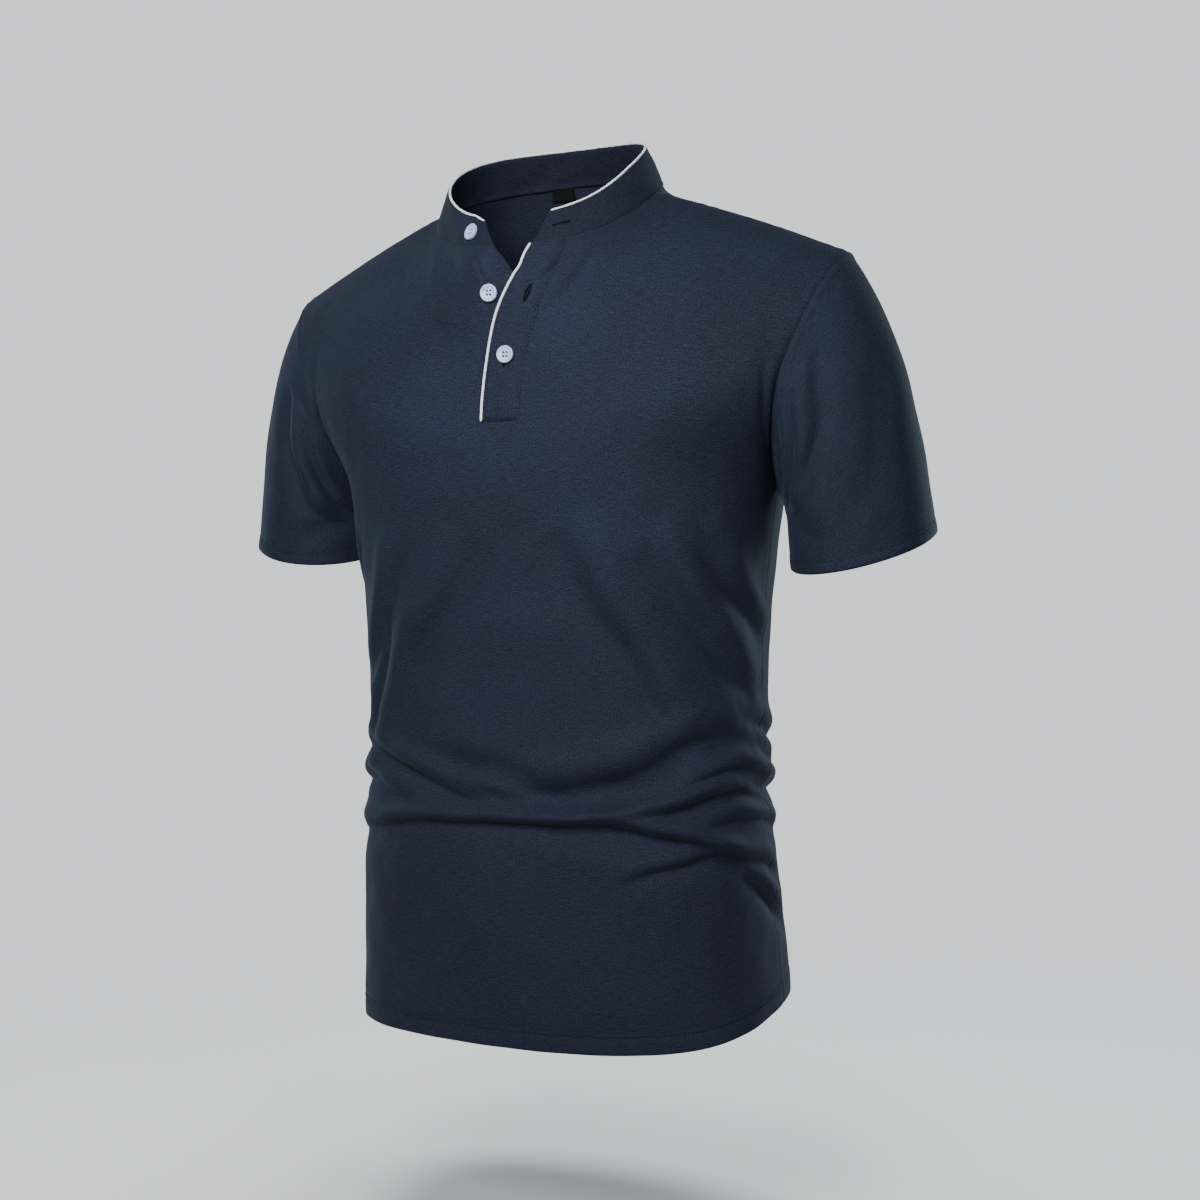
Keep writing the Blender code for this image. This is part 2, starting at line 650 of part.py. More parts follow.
def shared_normals(panels):
    """Outward directions that agree where panels meet at a seam, unless the seam folds back on itself."""
    own = [own_normals(panel) for panel in panels]
    total = defaultdict(lambda: np.zeros(3))
    for panel, normals in zip(panels, own):
        for point, normal in zip(panel.points, normals):
            total[key(point)] += normal
    agreed = []
    for panel, normals in zip(panels, own):
        shared = unit(np.array([total[key(point)] for point in panel.points]))
        weight = ease((normals * shared).sum(axis=1), 0.5, 0.9)[:, None]
        agreed.append(unit(shared * weight + normals * (1 - weight)))
    return agreed


def edges_of(faces):
    """The directed edges on the rim of a panel."""
    ends = [(face[i], face[(i + 1) % len(face)]) for face in faces for i in range(len(face))]
    count = Counter(frozenset(end) for end in ends)
    return [end for end in ends if count[frozenset(end)] == 1]


def trimmed(panel, distance):
    """The panel's points with its rim drawn in by a distance."""
    points = panel.points.copy()
    rim = {index for edge in edges_of(panel.faces) for index in edge}
    toward = defaultdict(lambda: np.zeros(3))
    for face in panel.faces:
        centre = panel.points[list(face)].mean(axis=0)
        for index in face:
            toward[index] += unit(centre - panel.points[index])
    for index in rim:
        points[index] += unit(toward[index]) * distance
    return points


def add_wall(name, panel, normals, thickness, colour):
    """A panel as a closed wall of cloth."""
    outer = trimmed(panel, SEAM_TRIM)
    inner = outer - normals * np.broadcast_to(np.asarray(thickness, float), len(outer))[:, None]
    count = len(outer)
    faces = [tuple(face) for face in panel.faces]
    faces += [tuple(index + count for index in reversed(face)) for face in panel.faces]
    faces += [(b, a, a + count, b + count) for a, b in edges_of(panel.faces)]
    return add_mesh(name, np.concatenate([outer, inner]), faces, colour, 0.85)


def add_tube(name, path, outward, radius, colour):
    """A round trim that follows a path."""
    along = unit(np.gradient(path, axis=0))
    sideways = unit(np.cross(along, outward))
    outward = np.cross(sideways, along)
    turns = np.linspace(0, 2 * math.pi, PIPING_SIDES, endpoint=False)
    ring = np.cos(turns)[None, :, None] * outward[:, None] + np.sin(turns)[None, :, None] * sideways[:, None]
    points = (path[:, None] + radius * ring).reshape(-1, 3)
    faces = grid_faces(len(path), PIPING_SIDES, is_closed=True)
    faces.append(tuple(range(PIPING_SIDES))[::-1])
    faces.append(tuple(len(points) - PIPING_SIDES + index for index in range(PIPING_SIDES)))
    return add_mesh(name, points, faces, colour, 0.7)


def add_mesh(name, points, faces, colour, roughness):
    """An object with one Principled material."""
    mesh = bpy.data.meshes.new(name)
    mesh.from_pydata([tuple(point) for point in points], [], faces)
    mesh.validate()
    thing = bpy.data.objects.new(name, mesh)
    bpy.context.scene.collection.objects.link(thing)
    mesh.materials.append(plain_material(name, colour, roughness))
    mesh.shade_smooth()
    mesh.set_sharp_from_angle(angle=math.radians(SHARP_ANGLE))
    return thing


def plain_material(name, colour, roughness):
    """A plain material of one colour."""
    material = bpy.data.materials.new(name)
    material.use_nodes = True
    shader = material.node_tree.nodes["Principled BSDF"]
    shader.inputs["Base Color"].default_value = (*colour, 1)
    shader.inputs["Roughness"].default_value = roughness
    shader.inputs["Metallic"].default_value = 0.0
    return material


def add_pipings():
    """The white piping on the band's top edge and on the free edge of the over strip."""
    turns = band_turns(PIPING_STEPS)
    share = np.ones_like(turns)
    outward = band_outward(turns, share)
    top = band_at(turns, share)
    rise = unit(top - band_at(turns, share - 0.1))
    path = top - outward * BAND_CLOTH / 2 + rise * (PIPING_RADIUS + SEAM_GAP)
    add_tube("piping_collar", path, outward, PIPING_RADIUS, WHITE)
    rows = rows_from(PLACKET_FOOT)
    rows = np.interp(np.linspace(0, len(rows) - 1, PIPING_STEPS * len(rows)), np.arange(len(rows)), rows)
    edge = np.full_like(rows, OVER_RIGHT)
    outward = strip_outward(edge, rows, 1)
    free = strip_points(edge, rows, 1, PIPING_RADIUS + 2 * SEAM_GAP)
    inside = strip_points(edge + 0.01, rows, 1, PIPING_RADIUS + 2 * SEAM_GAP)
    path = free - unit(inside - free) * (PIPING_RADIUS + SEAM_GAP)
    add_tube("piping_placket", path, outward, PIPING_RADIUS, WHITE)


def button_seat(button):
    """The point under a button's middle, and the direction in which the button faces."""
    if button.surface == "band":
        turn = np.array([math.radians(button.across)])
        share = np.array([button.up])
        return band_at(turn, share)[0], band_outward(turn, share)[0]
    side, lift = (1, LAYER_LIFT) if button.surface == "over" else (-1, 0.0)
    across, up = np.array([button.across]), np.array([button.up])
    return strip_points(across, up, side, lift)[0], strip_outward(across, up, side)[0]


def seated(points, seat, outward):
    """Local points moved onto a seat, with their z along outward and their y near the shirt's upward."""
    side = unit(np.cross(np.array([0.0, 0.0, 1.0]), outward))
    rise = np.cross(outward, side)
    return seat + points[:, :1] * side + points[:, 1:2] * rise + points[:, 2:] * outward


def add_button(button):
    """A turned button with a dished face and four holes."""
    seat, outward = button_seat(button)
    seat = seat + outward * SEAM_GAP
    turns = np.linspace(0, 2 * math.pi, BUTTON_SIDES, endpoint=False)
    local = [
        (ring.radius * math.cos(turn), ring.radius * math.sin(turn), ring.height)
        for ring in BUTTON_PROFILE
        for turn in turns
    ]
    faces = grid_faces(len(BUTTON_PROFILE), BUTTON_SIDES, is_closed=True)
    faces.append(tuple(range(BUTTON_SIDES))[::-1])
    faces.append(tuple(len(local) - BUTTON_SIDES + index for index in range(BUTTON_SIDES)))
    thing = add_mesh(button.name, seated(np.array(local), seat, outward), faces, PEARL, 0.3)
    cut = thing.modifiers.new("holes", "BOOLEAN")
    cut.operation = "DIFFERENCE"
    cut.object = add_drill(button.name + "_drill", seat, outward)


def add_drill(name, seat, outward):
    """Four pins that cut the holes of a button."""
    turns = np.linspace(0, 2 * math.pi, BUTTON_HOLE_SIDES, endpoint=False)
    local, faces = [], []
    for x, y in ((1, 1), (-1, 1), (-1, -1), (1, -1)):
        start = len(local)
        for height in DRILL_HEIGHTS:
            local += [
                (
                    x * BUTTON_HOLE_OUT * math.sqrt(0.5) + BUTTON_HOLE_RADIUS * math.cos(turn),
                    y * BUTTON_HOLE_OUT * math.sqrt(0.5) + BUTTON_HOLE_RADIUS * math.sin(turn),
                    height,
                )
                for turn in turns
            ]
        sides = grid_faces(2, BUTTON_HOLE_SIDES, is_closed=True)
        sides.append(tuple(range(BUTTON_HOLE_SIDES))[::-1])
        sides.append(tuple(range(BUTTON_HOLE_SIDES, 2 * BUTTON_HOLE_SIDES)))
        faces += [tuple(start + index for index in face) for face in sides]
    drill = add_mesh(name, seated(np.array(local), seat, outward), faces, PEARL, 0.3)
    drill.display_type = "WIRE"
    drill.hide_render = True
    return drill


def add_label():
    """A bare tab inside the back of the neck."""
    across, up = np.meshgrid(np.linspace(*LABEL_ACROSS[::-1], 4), np.linspace(*LABEL_UP, 3))
    points = body(across, up, True).reshape(-1, 3)
    panel = Panel(points, grid_faces(3, 4))
    outward = own_normals(panel)
    panel = Panel(points - outward * (CLOTH + 3 * SEAM_GAP), panel.faces)
    add_wall("neck_label", panel, outward, LABEL_CLOTH, BLACK)


def wall_thickness(name, panel):
    """Wall thickness at each point of a panel. Turned hems are thicker."""
    thickness = np.full(len(panel.points), BAND_CLOTH if name == "collar_band" else CLOTH)
    if name in ("front", "back"):
        columns = len(front_places() if name == "front" else back_places())
        thickness[: 2 * columns] += HEM_EXTRA
    if name.startswith("sleeve"):
        thickness[-2 * len(armhole_loop(1)) :] += HEM_EXTRA
    return thickness


def main():
    """Clears the scene and makes every piece of the shirt."""
    for thing in list(bpy.data.objects):
        bpy.data.objects.remove(thing)
    panels = {
        "front": front_panel(),
        "back": back_panel(),
        "sleeve_left": sleeve_panel(1),
        "sleeve_right": sleeve_panel(-1),
        "collar_band": band_panel(),
        "placket_under": strip_panel(slot_places(), rows_from(SLOT_FOOT), -1, 0.0),
    }
    normals = dict(zip(panels, shared_normals(list(panels.values()))))
    for name, panel in panels.items():
        add_wall(name, panel, normals[name], wall_thickness(name, panel), NAVY)
    over = strip_panel(over_places(), rows_from(PLACKET_FOOT), 1, LAYER_LIFT)
    add_wall("placket_over", over, own_normals(over), CLOTH, NAVY)
    add_pipings()
    for button in BUTTONS:
        add_button(button)
    add_label()


main()
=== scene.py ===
"""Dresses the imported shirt: knit cloth with its creases and seams, stitching, piping, buttons and a label.

Metres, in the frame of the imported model. The front faces -Y and the wearer's left is +X. A place on the
body is given by two numbers. `across` runs from -1 at the wearer's right side seam or armhole to 1 at the
left one, and `up` from 0 at the hem to 1 at the underarm and 2 at the neckline and the shoulder seams.
"""

import logging
import math
from collections import Counter, defaultdict
from dataclasses import dataclass, field, replace
from enum import Enum

import bmesh
import bpy
import numpy as np
from mathutils import Matrix, Vector


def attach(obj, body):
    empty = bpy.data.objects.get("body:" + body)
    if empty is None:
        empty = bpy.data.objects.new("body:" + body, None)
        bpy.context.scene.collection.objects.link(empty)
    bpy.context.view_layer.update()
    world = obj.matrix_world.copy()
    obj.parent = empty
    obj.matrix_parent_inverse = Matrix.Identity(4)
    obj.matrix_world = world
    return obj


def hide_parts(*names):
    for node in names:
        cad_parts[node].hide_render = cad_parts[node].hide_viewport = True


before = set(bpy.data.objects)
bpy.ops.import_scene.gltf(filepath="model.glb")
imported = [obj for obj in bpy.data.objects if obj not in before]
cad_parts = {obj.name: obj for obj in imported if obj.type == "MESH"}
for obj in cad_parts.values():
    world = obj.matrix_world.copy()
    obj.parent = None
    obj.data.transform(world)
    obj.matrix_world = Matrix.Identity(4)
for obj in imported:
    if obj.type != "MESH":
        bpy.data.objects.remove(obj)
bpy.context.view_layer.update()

log = logging.getLogger("shirt")

Array = np.ndarray
Piece = bpy.types.Object
Socket = bpy.types.NodeSocket
Span = tuple[float, float]
Triple = tuple[float, float, float]

ROOT = "root"
CLOTH_MAP = "cloth"
FULL_TURN = 2 * math.pi
RIM_BLUE = (0.70, 0.90, 1.0)


class Side(Enum):
    """A side of the wearer."""

    LEFT = 1
    RIGHT = -1


class Half(Enum):
    """The front or the back of the body. The value is the sign of its outward direction along Y."""

    FRONT = -1
    BACK = 1


class Lay(Enum):
    DRAPED = "draped"
    LAID = "laid"


# ---------------------------------------------------------------- small sums


def unit(vectors: Array) -> Array:
    """Each vector at length 1."""
    return vectors / np.maximum(np.linalg.norm(vectors, axis=-1, keepdims=True), 1e-12)


def ease(value: Array | float, start: float, end: float) -> Array:
    """0 before start and 1 after end, with a smooth rise between them."""
    share = np.clip((np.asarray(value, float) - start) / (end - start), 0, 1)
    return share * share * (3 - 2 * share)


def bell(distance: Array, width: float) -> Array:
    """A smooth bump, 1 at no distance."""
    return np.exp(-((distance / width) ** 2))


def wrapped(degrees: Array | float) -> Array:
    """Degrees brought into the range from -180 to 180."""
    return (np.asarray(degrees, float) + 180) % 360 - 180


def hermite(
    share: Array, start: Array, start_slope: Array, end: Array, end_slope: Array
) -> Array:
    """A cubic from start to end with the slopes given at both ends.

    Args:
        share: How far along, from 0 to 1.
        start: Value at 0.
        start_slope: Slope at 0, over the whole span.
        end: Value at 1.
        end_slope: Slope at 1, over the whole span.

    Returns:
        The value at each share.
    """
    t = share[..., None]
    return (
        (1 + 2 * t) * (1 - t) ** 2 * start
        + t * (1 - t) ** 2 * start_slope
        + t**2 * (3 - 2 * t) * end
        + t**2 * (t - 1) * end_slope
    )


def wander(x: Array, z: Array, length: float, seed: int) -> Array:
    """A smooth uneven wave over flat cloth, between about -1 and 1.

    Args:
        x: Place along the cloth, in metres.
        z: Place up the cloth, in metres.
        length: The usual distance from crest to crest.
        seed: A number that picks another wave of the same kind.

    Returns:
        The wave's height at each place.
    """
    golden = 2.39996
    total = 0
    for step in range(6):
        angle = golden * (step + 1) * (seed + 1)
        stretch = 0.7 + 0.6 * ((step * 0.618 + seed * 0.37) % 1)
        along = x * math.cos(angle) + z * math.sin(angle)
        total = total + np.sin(FULL_TURN * along / (length * stretch) + 5.1 * step + 1.7 * seed)
    return total / 3.2


def spread_between(stops: list[float], spacing: float) -> Array:
    """Even steps between stops, with every stop among them.

    Args:
        stops: Rising values.
        spacing: The largest step.

    Returns:
        The rising values.
    """
    parts = [np.array(stops[:1])]
    for low, high in zip(stops, stops[1:]):
        count = max(1, math.ceil((high - low) / spacing - 1e-6))
        parts.append(np.linspace(low, high, count + 1)[1:])
    return np.concatenate(parts)


def walked(points: Array, axis: int) -> Array:
    """Distance walked along a grid of points from its first row or column.

    Args:
        points: A grid of points.
        axis: 0 to walk up the rows and 1 to walk along the columns.

    Returns:
        The distance at each point.
    """
    steps = np.linalg.norm(np.diff(points, axis=axis), axis=-1)
    start = np.zeros_like(np.take(steps, [0], axis=axis))
    return np.concatenate([start, np.cumsum(steps, axis=axis)], axis=axis)


# ---------------------------------------------------------------- the form of the shirt


@dataclass(frozen=True)
class Section:
    """A level section of the body."""

    height: float
    half_width: float
    front: float
    back: float
    side: float


@dataclass(frozen=True)
class Level:
    """The line across the chest or the shoulder blades, from armhole to armhole."""

    centre_y: float
    centre_z: float
    edge_x: float
    edge_y: float
    edge_z: float
    turn: float = 70.0


@dataclass(frozen=True)
class Slope:
    """How the yoke leaves or meets a line: towards the centre line, towards the shoulder line and up."""

    sideways: float
    inwards: float
    up: float


@dataclass(frozen=True)
class NeckRing:
    """A ring round the neck. Its height follows two cosines of the turn from the front."""

    half_width: float
    half_depth: float
    centre_y: float
    middle: float
    tilt: float
    dip: float


@dataclass(frozen=True)
class Spread:
    """How one side of the placket spreads open above its lowest button."""

    free_edge: float
    amount: float
    start: float
    power: float
    reach: float


@dataclass(frozen=True)
class Slant:
    """How an end of the collar band is cut back towards its top. Turns are in degrees."""

    end_turn: float
    fade_turn: float
    amount: float


@dataclass(frozen=True)
class Fold:
    """A crease with a roll of cloth above it.

    start and end are each a turn in degrees and a height, or a share down the sleeve. The crease bows down
    by bow. lip is the roll above it as a share of its depth, and edge is 2 for a soft trough and less for a
    sharper one.
    """

    start: Span
    end: Span
    bow: float
    width: float
    depth: float
    lip: float = 0.5
    edge: float = 2.0

    def height(self, x: Array, z: Array, flat: Array) -> Array:
        """How far the fold moves the cloth outwards.

        Args:
            x: Place along the flat cloth.
            z: Place up the flat cloth.
            flat: What turns the fold's own numbers into metres on the flat cloth.

        Returns:
            The distance outwards at each place.
        """
        start, end = self.start * flat, self.end * flat
        along = end - start
        length = np.linalg.norm(along)
        along = along / length
        above = np.array([-along[1], along[0]]) * (1 if along[0] >= 0 else -1)
        x, z = x - start[0], z - start[1]
        inside = np.clip((x * along[0] + z * along[1]) / length, 0, 1)
        off = x * above[0] + z * above[1] + 4 * self.bow * inside * (1 - inside)
        trough = -np.exp(-(np.abs(off / self.width) ** self.edge))
        roll = self.lip * bell(off - 1.6 * self.width, 1.4 * self.width)
        return self.depth * np.sqrt(np.sin(math.pi * inside)) * (trough + roll)


@dataclass(frozen=True)
class Crease:
    """A crease whose line curves over the cloth.

    The line passes through places, each a turn in degrees and a height. The cloth above it rolls out by lip
    times depth. above and below are the widths of the trough's two sides, and a negative depth turns the
    trough into a ridge. The trough lies below its line by shift times above, and the roll's middle and width
    are above the line by the share and the two lengths that are named for it.
    """

    line: tuple[Span, ...]
    above: float
    below: float
    depth: float
    lip: float = 0.6
    edge: float = 1.6
    fade_power: float = 0.6
    shift: float = 0.8
    roll_share: float = 1.8
    roll_gap: float = 0.0035
    roll_extra: float = 0.0042

    def height(self, x: Array, z: Array, girth_per_turn: float) -> Array:
        """How far the crease moves the cloth outwards.

        Args:
            x: Place along the flat cloth.
            z: Place up the flat cloth.
            girth_per_turn: Metres of flat cloth for a degree of turn.

        Returns:
            The distance outwards at each place.
        """
        table = np.array(self.line)
        stops, heights = table[:, 0] * girth_per_turn, table[:, 1]
        slopes = np.gradient(heights, stops)
        index = np.clip(np.searchsorted(stops, x) - 1, 0, len(stops) - 2)
        step = stops[index + 1] - stops[index]
        share = np.clip((x - stops[index]) / step, 0, 1)
        low, high = heights[index][..., None], heights[index + 1][..., None]
        low_slope, high_slope = (slopes[index] * step)[..., None], (slopes[index + 1] * step)[..., None]
        middle = hermite(share, low, low_slope, high, high_slope)[..., 0]
        steepness = np.interp(x, stops, slopes)
        off = (z - middle) / np.sqrt(1 + steepness**2)
        inside = np.clip((x - stops[0]) / (stops[-1] - stops[0]), 0, 1)
        fade = np.sin(math.pi * inside) ** self.fade_power
        off = off + self.shift * self.above
        width = np.where(off > 0, self.above, self.below)
        trough = -np.exp(-(np.abs(off / width) ** self.edge))
        roll_middle = off - self.roll_share * self.above - self.roll_gap
        return self.depth * fade * (trough + self.lip * bell(roll_middle, self.above + self.roll_extra))


@dataclass(frozen=True)
class Ripple:
    """A smooth uneven wave of small height. x_share and z_share stretch it along and up the cloth."""

    amount: float
    length: float
    seed: int
    x_share: float = 1.0
    z_share: float = 1.0

    def height(self, x: Array, z: Array) -> Array:
        """The wave's height at places on flat cloth."""
        return self.amount * wander(x * self.x_share, z * self.z_share, self.length, self.seed)


@dataclass
class BodyForm:
    """The front and the back of the shirt, as the cloth hangs."""

    # height, half_width, front, back, side
    sections: tuple[Section, ...] = (
        Section(-0.655, 0.177, -0.098, 0.134, 0.014),
        Section(-0.590, 0.174, -0.102, 0.126, 0.010),
        Section(-0.530, 0.170, -0.106, 0.116, 0.004),
        Section(-0.460, 0.166, -0.107, 0.106, 0.000),
        Section(-0.390, 0.163, -0.107, 0.102, -0.002),
        Section(-0.310, 0.166, -0.113, 0.107, -0.002),
        Section(-0.225, 0.177, -0.121, 0.114, -0.004),
    )
    boxiness: float = 0.030
    edge_crowding: float = 0.18
    hem: float = -0.643
    hem_ride: float = 0.030
    hem_ride_turn: float = 108.0
    hem_ride_spread: float = 48.0
    chest: Level = Level(centre_y=-0.119, centre_z=-0.140, edge_x=0.198, edge_y=-0.066, edge_z=-0.148)
    blades: Level = Level(centre_y=0.100, centre_z=-0.125, edge_x=0.196, edge_y=0.050, edge_z=-0.140)
    level_share: float = 0.46
    level_pull: float = 0.55
    armhole_slope: Slope = Slope(sideways=0.0, inwards=-0.055, up=0.050)
    neck_slope: Slope = Slope(sideways=0.040, inwards=0.035, up=0.085)
    shoulder_slope: Slope = Slope(sideways=0.0, inwards=0.125, up=0.030)
    underarm_step: float = 0.020
    underarm_span: float = 0.090
    neckline: NeckRing = NeckRing(0.091, 0.075, -0.033, middle=-0.0042, tilt=0.0409, dip=0.0042)
    neck_share: float = 0.50
    shoulder_tip: Triple = (0.232, -0.004, -0.052)
    shoulder_rise: float = 0.0025
    neck_sag: float = 0.0040
    neck_sag_turn: float = 50.0
    neck_sag_spread: float = 24.0
    poke: float = 0.011
    poke_turns: Triple = (-42.0, -4.0, 10.0)
    girth_per_turn: float = 0.245 / 90
    armhole_blend: Span = (0.75, 1.0)
    shoulder_blend: Span = (0.16, 0.62)
    armhole_hold: Span = (0.88, 1.0)
    armhole_hold_up: Span = (0.98, 1.03)
    top_hold: Span = (1.90, 2.0)
    drift_along: Ripple = Ripple(0.0040, 0.085, 1)
    drift_up: Ripple = Ripple(0.0014, 0.060, 2)
    waist_height: float = -0.455
    waist_reach: float = 0.060
    waist_wrinkles: Ripple = Ripple(0.00055, 0.024, 3, x_share=0.35)
    broad_waves: Ripple = Ripple(0.00070, 0.110, 4, z_share=0.6)
    fine_waves: Ripple = Ripple(0.00035, 0.038, 5)
    # line, above, below, depth, lip, edge
    creases: tuple[Crease, ...] = (
        # The cloth blouses over one long crease at the waist.
        Crease(
            ((-68, -0.494), (-49, -0.485), (-23, -0.476), (5, -0.4735), (24, -0.4735), (36, -0.478),
             (50, -0.484), (60, -0.491), (85, -0.506), (100, -0.518)),
            0.0024, 0.0110, 0.0068, 0.95, 1.4,
        ),
        # A strong crease climbs to the wearer's left side.
        Crease(
            ((-8, -0.452), (12, -0.446), (26, -0.437), (41, -0.4215), (51.5, -0.409), (64, -0.404),
             (80, -0.411)),
            0.0080, 0.0150, 0.0058, 0.75, 1.9,
        ),
        # The cloth hangs in a bow from the waist's two sides.
        Crease(
            ((-30, -0.425), (-14, -0.437), (1.5, -0.449), (8, -0.460), (15, -0.4655), (27.5, -0.461),
             (40, -0.4525), (56.5, -0.4385), (72, -0.430)),
            0.0050, 0.0055, -0.0034, 0.7, 1.8,
        ),
        Crease(((-34, -0.436), (-14, -0.430), (2, -0.430), (16, -0.438)), 0.012, 0.017, 0.0028, 0.3, 2.0),
        # Creases run in from the wearer's right side.
        Crease(
            ((-60, -0.414), (-46, -0.425), (-32, -0.436), (-18, -0.449), (-3, -0.461)),
            0.0040, 0.0080, 0.0054, 0.8,
        ),
        Crease(((-62, -0.438), (-45, -0.449), (-34, -0.457), (-24, -0.464)), 0.004, 0.006, 0.0034),
        # Short creases fan out on the wearer's left.
        Crease(((44, -0.448), (58, -0.437), (72, -0.433), (90, -0.438)), 0.0028, 0.0055, 0.0042, 0.8),
        Crease(
            ((30, -0.466), (46, -0.461), (60, -0.452), (74, -0.450), (90, -0.458)),
            0.0028, 0.0070, 0.0046, 0.8,
        ),
        Crease(((56, -0.476), (72, -0.470), (88, -0.474), (108, -0.486)), 0.0026, 0.0058, 0.0042, 0.8),
        Crease(
            ((28, -0.515), (40, -0.505), (48, -0.500), (60, -0.496), (72, -0.499)),
            0.0030, 0.0080, 0.0046, 0.7,
        ),
        Crease(((70, -0.510), (80, -0.521), (92, -0.540), (102, -0.556)), 0.0032, 0.0080, 0.0050, 0.8),
        # The sides.
        Crease(((-112, -0.470), (-92, -0.462), (-72, -0.452), (-50, -0.446)), 0.0045, 0.008, 0.0052, 0.8),
        Crease(((-126, -0.506), (-104, -0.497), (-84, -0.496), (-62, -0.488)), 0.0045, 0.010, 0.0060, 0.9),
        Crease(((-104, -0.436), (-86, -0.424), (-70, -0.420), (-56, -0.424)), 0.004, 0.007, 0.0040, 0.8),
        Crease(((-98, -0.398), (-82, -0.392), (-66, -0.396)), 0.004, 0.006, 0.0026, 0.8),
        Crease(((72, -0.438), (92, -0.446), (110, -0.452), (130, -0.466)), 0.0045, 0.009, 0.0058, 0.8),
        Crease(((72, -0.394), (90, -0.400), (108, -0.412), (124, -0.424)), 0.0045, 0.007, 0.0042, 0.8),
        Crease(((84, -0.420), (98, -0.426), (112, -0.436)), 0.004, 0.006, 0.0034, 0.8),
        # The back.
        Crease(
            ((104, -0.474), (124, -0.484), (150, -0.494), (178, -0.499), (206, -0.494), (232, -0.484),
             (250, -0.476)),
            0.0026, 0.0115, 0.0068, 0.95, 1.4,
        ),
        Crease(
            ((124, -0.432), (148, -0.444), (172, -0.452), (196, -0.450), (222, -0.440), (236, -0.434)),
            0.0060, 0.0110, 0.0060, 0.7,
        ),
        Crease(
            ((146, -0.394), (162, -0.402), (180, -0.406), (200, -0.398), (212, -0.390)),
            0.008, 0.010, 0.0036,
        ),
        Crease(((172, -0.468), (192, -0.466), (212, -0.456), (240, -0.448)), 0.004, 0.008, 0.0040, 0.7),
        Crease(((112, -0.452), (128, -0.462), (146, -0.474)), 0.004, 0.007, 0.0038, 0.7),
        Crease(((106, -0.552), (124, -0.538), (144, -0.528), (164, -0.526)), 0.005, 0.010, 0.0040),
        Crease(((200, -0.522), (218, -0.526), (236, -0.536), (254, -0.544)), 0.005, 0.009, 0.0036),
    )
    # start, end, bow, width, depth, lip, edge
    folds: tuple[Fold, ...] = (
        # Drag lines run from the chest down to the waist.
        Fold((-6, -0.262), (-41, -0.425), 0.006, 0.012, 0.0068, 0.9, 1.7),
        Fold((-26, -0.262), (-52, -0.372), 0.002, 0.010, 0.0058, 0.9, 1.7),
        Fold((-38, -0.330), (-52, -0.418), 0.003, 0.007, 0.0040, 0.9, 1.7),
        Fold((12, -0.262), (47, -0.408), 0.008, 0.013, 0.0070, 0.9, 1.7),
        Fold((34, -0.270), (82, -0.384), 0.009, 0.011, 0.0068, 0.9, 1.7),
        Fold((52, -0.262), (90, -0.342), 0.006, 0.009, 0.0048, 0.9, 1.7),
        Fold((-58, -0.250), (-84, -0.350), 0.004, 0.010, 0.0048, 0.8, 1.7),
        # The neck's opening pulls the cloth beside it.
        Fold((13.5, -0.046), (3.0, -0.070), 0.000, 0.0050, 0.0018, 0.6),
        Fold((-17, -0.037), (-5.0, -0.080), 0.000, 0.0060, 0.0022, 0.8),
        Fold((20, -0.054), (9, -0.100), 0.001, 0.0036, 0.0017, 0.9, 1.7),
        Fold((15, -0.050), (7, -0.080), 0.000, 0.0030, 0.0014, 0.9, 1.7),
        Fold((27, -0.046), (19, -0.090), 0.001, 0.0040, 0.0013, 0.9, 1.7),
        Fold((-26, -0.030), (-14, -0.110), 0.002, 0.0052, 0.0020, 0.9, 1.7),
        Fold((-36, -0.024), (-24, -0.096), 0.002, 0.0050, 0.0014, 0.9, 1.7),
        # The cloth breaks beside the armholes.
        Fold((79, -0.140), (90, -0.212), 0.002, 0.0075, 0.0038, 0.9),
        Fold((-79, -0.140), (-90, -0.212), -0.002, 0.0080, 0.0034, 0.8),
        Fold((101, -0.140), (92, -0.215), 0.000, 0.0090, 0.0034, 0.8),
        Fold((-101, -0.140), (-92, -0.215), 0.000, 0.0090, 0.0034, 0.8),
        # The back.
        Fold((118, -0.300), (148, -0.412), 0.004, 0.014, 0.0046, 0.7),
        Fold((242, -0.300), (214, -0.406), 0.004, 0.014, 0.0046, 0.7),
        Fold((136, -0.250), (158, -0.370), 0.004, 0.013, 0.0032, 0.6),
        Fold((222, -0.256), (204, -0.372), 0.004, 0.013, 0.0030, 0.6),
    )

    @property
    def underarm(self) -> float:
        """Height of the underarm."""
        return self.sections[-1].height

    def section_at(self, height: Array) -> Array:
        """Half width, front, back and side at each height, on a smooth curve through the sections.

        Args:
            height: Heights, in metres.

        Returns:
            Half width, front, back and side, an array of each.
        """
        table = np.array([[s.height, s.half_width, s.front, s.back, s.side] for s in self.sections])
        heights, values = table[:, 0], table[:, 1:]
        slopes = np.gradient(values, heights, axis=0)
        height = np.clip(height, heights[0], heights[-1])
        index = np.clip(np.searchsorted(heights, height, side="right") - 1, 0, len(heights) - 2)
        step = (heights[index + 1] - heights[index])[..., None]
        share = (height - heights[index]) / step[..., 0]
        start, end = values[index], values[index + 1]
        found = hermite(share, start, slopes[index] * step, end, slopes[index + 1] * step)
        return np.moveaxis(found, -1, 0)

    def quarter_turn(self, across: Array) -> Array:
        """The angle from the centre line for a place across a panel, in radians."""
        return math.pi / 2 * ((1 - self.edge_crowding) * across + self.edge_crowding * across**3)

    def turn_of(self, across: Array, half: Half) -> Array:
        """Turn in degrees from the centre front, towards the wearer's left."""
        angle = np.degrees(self.quarter_turn(across))
        return 180 - angle if half is Half.BACK else angle

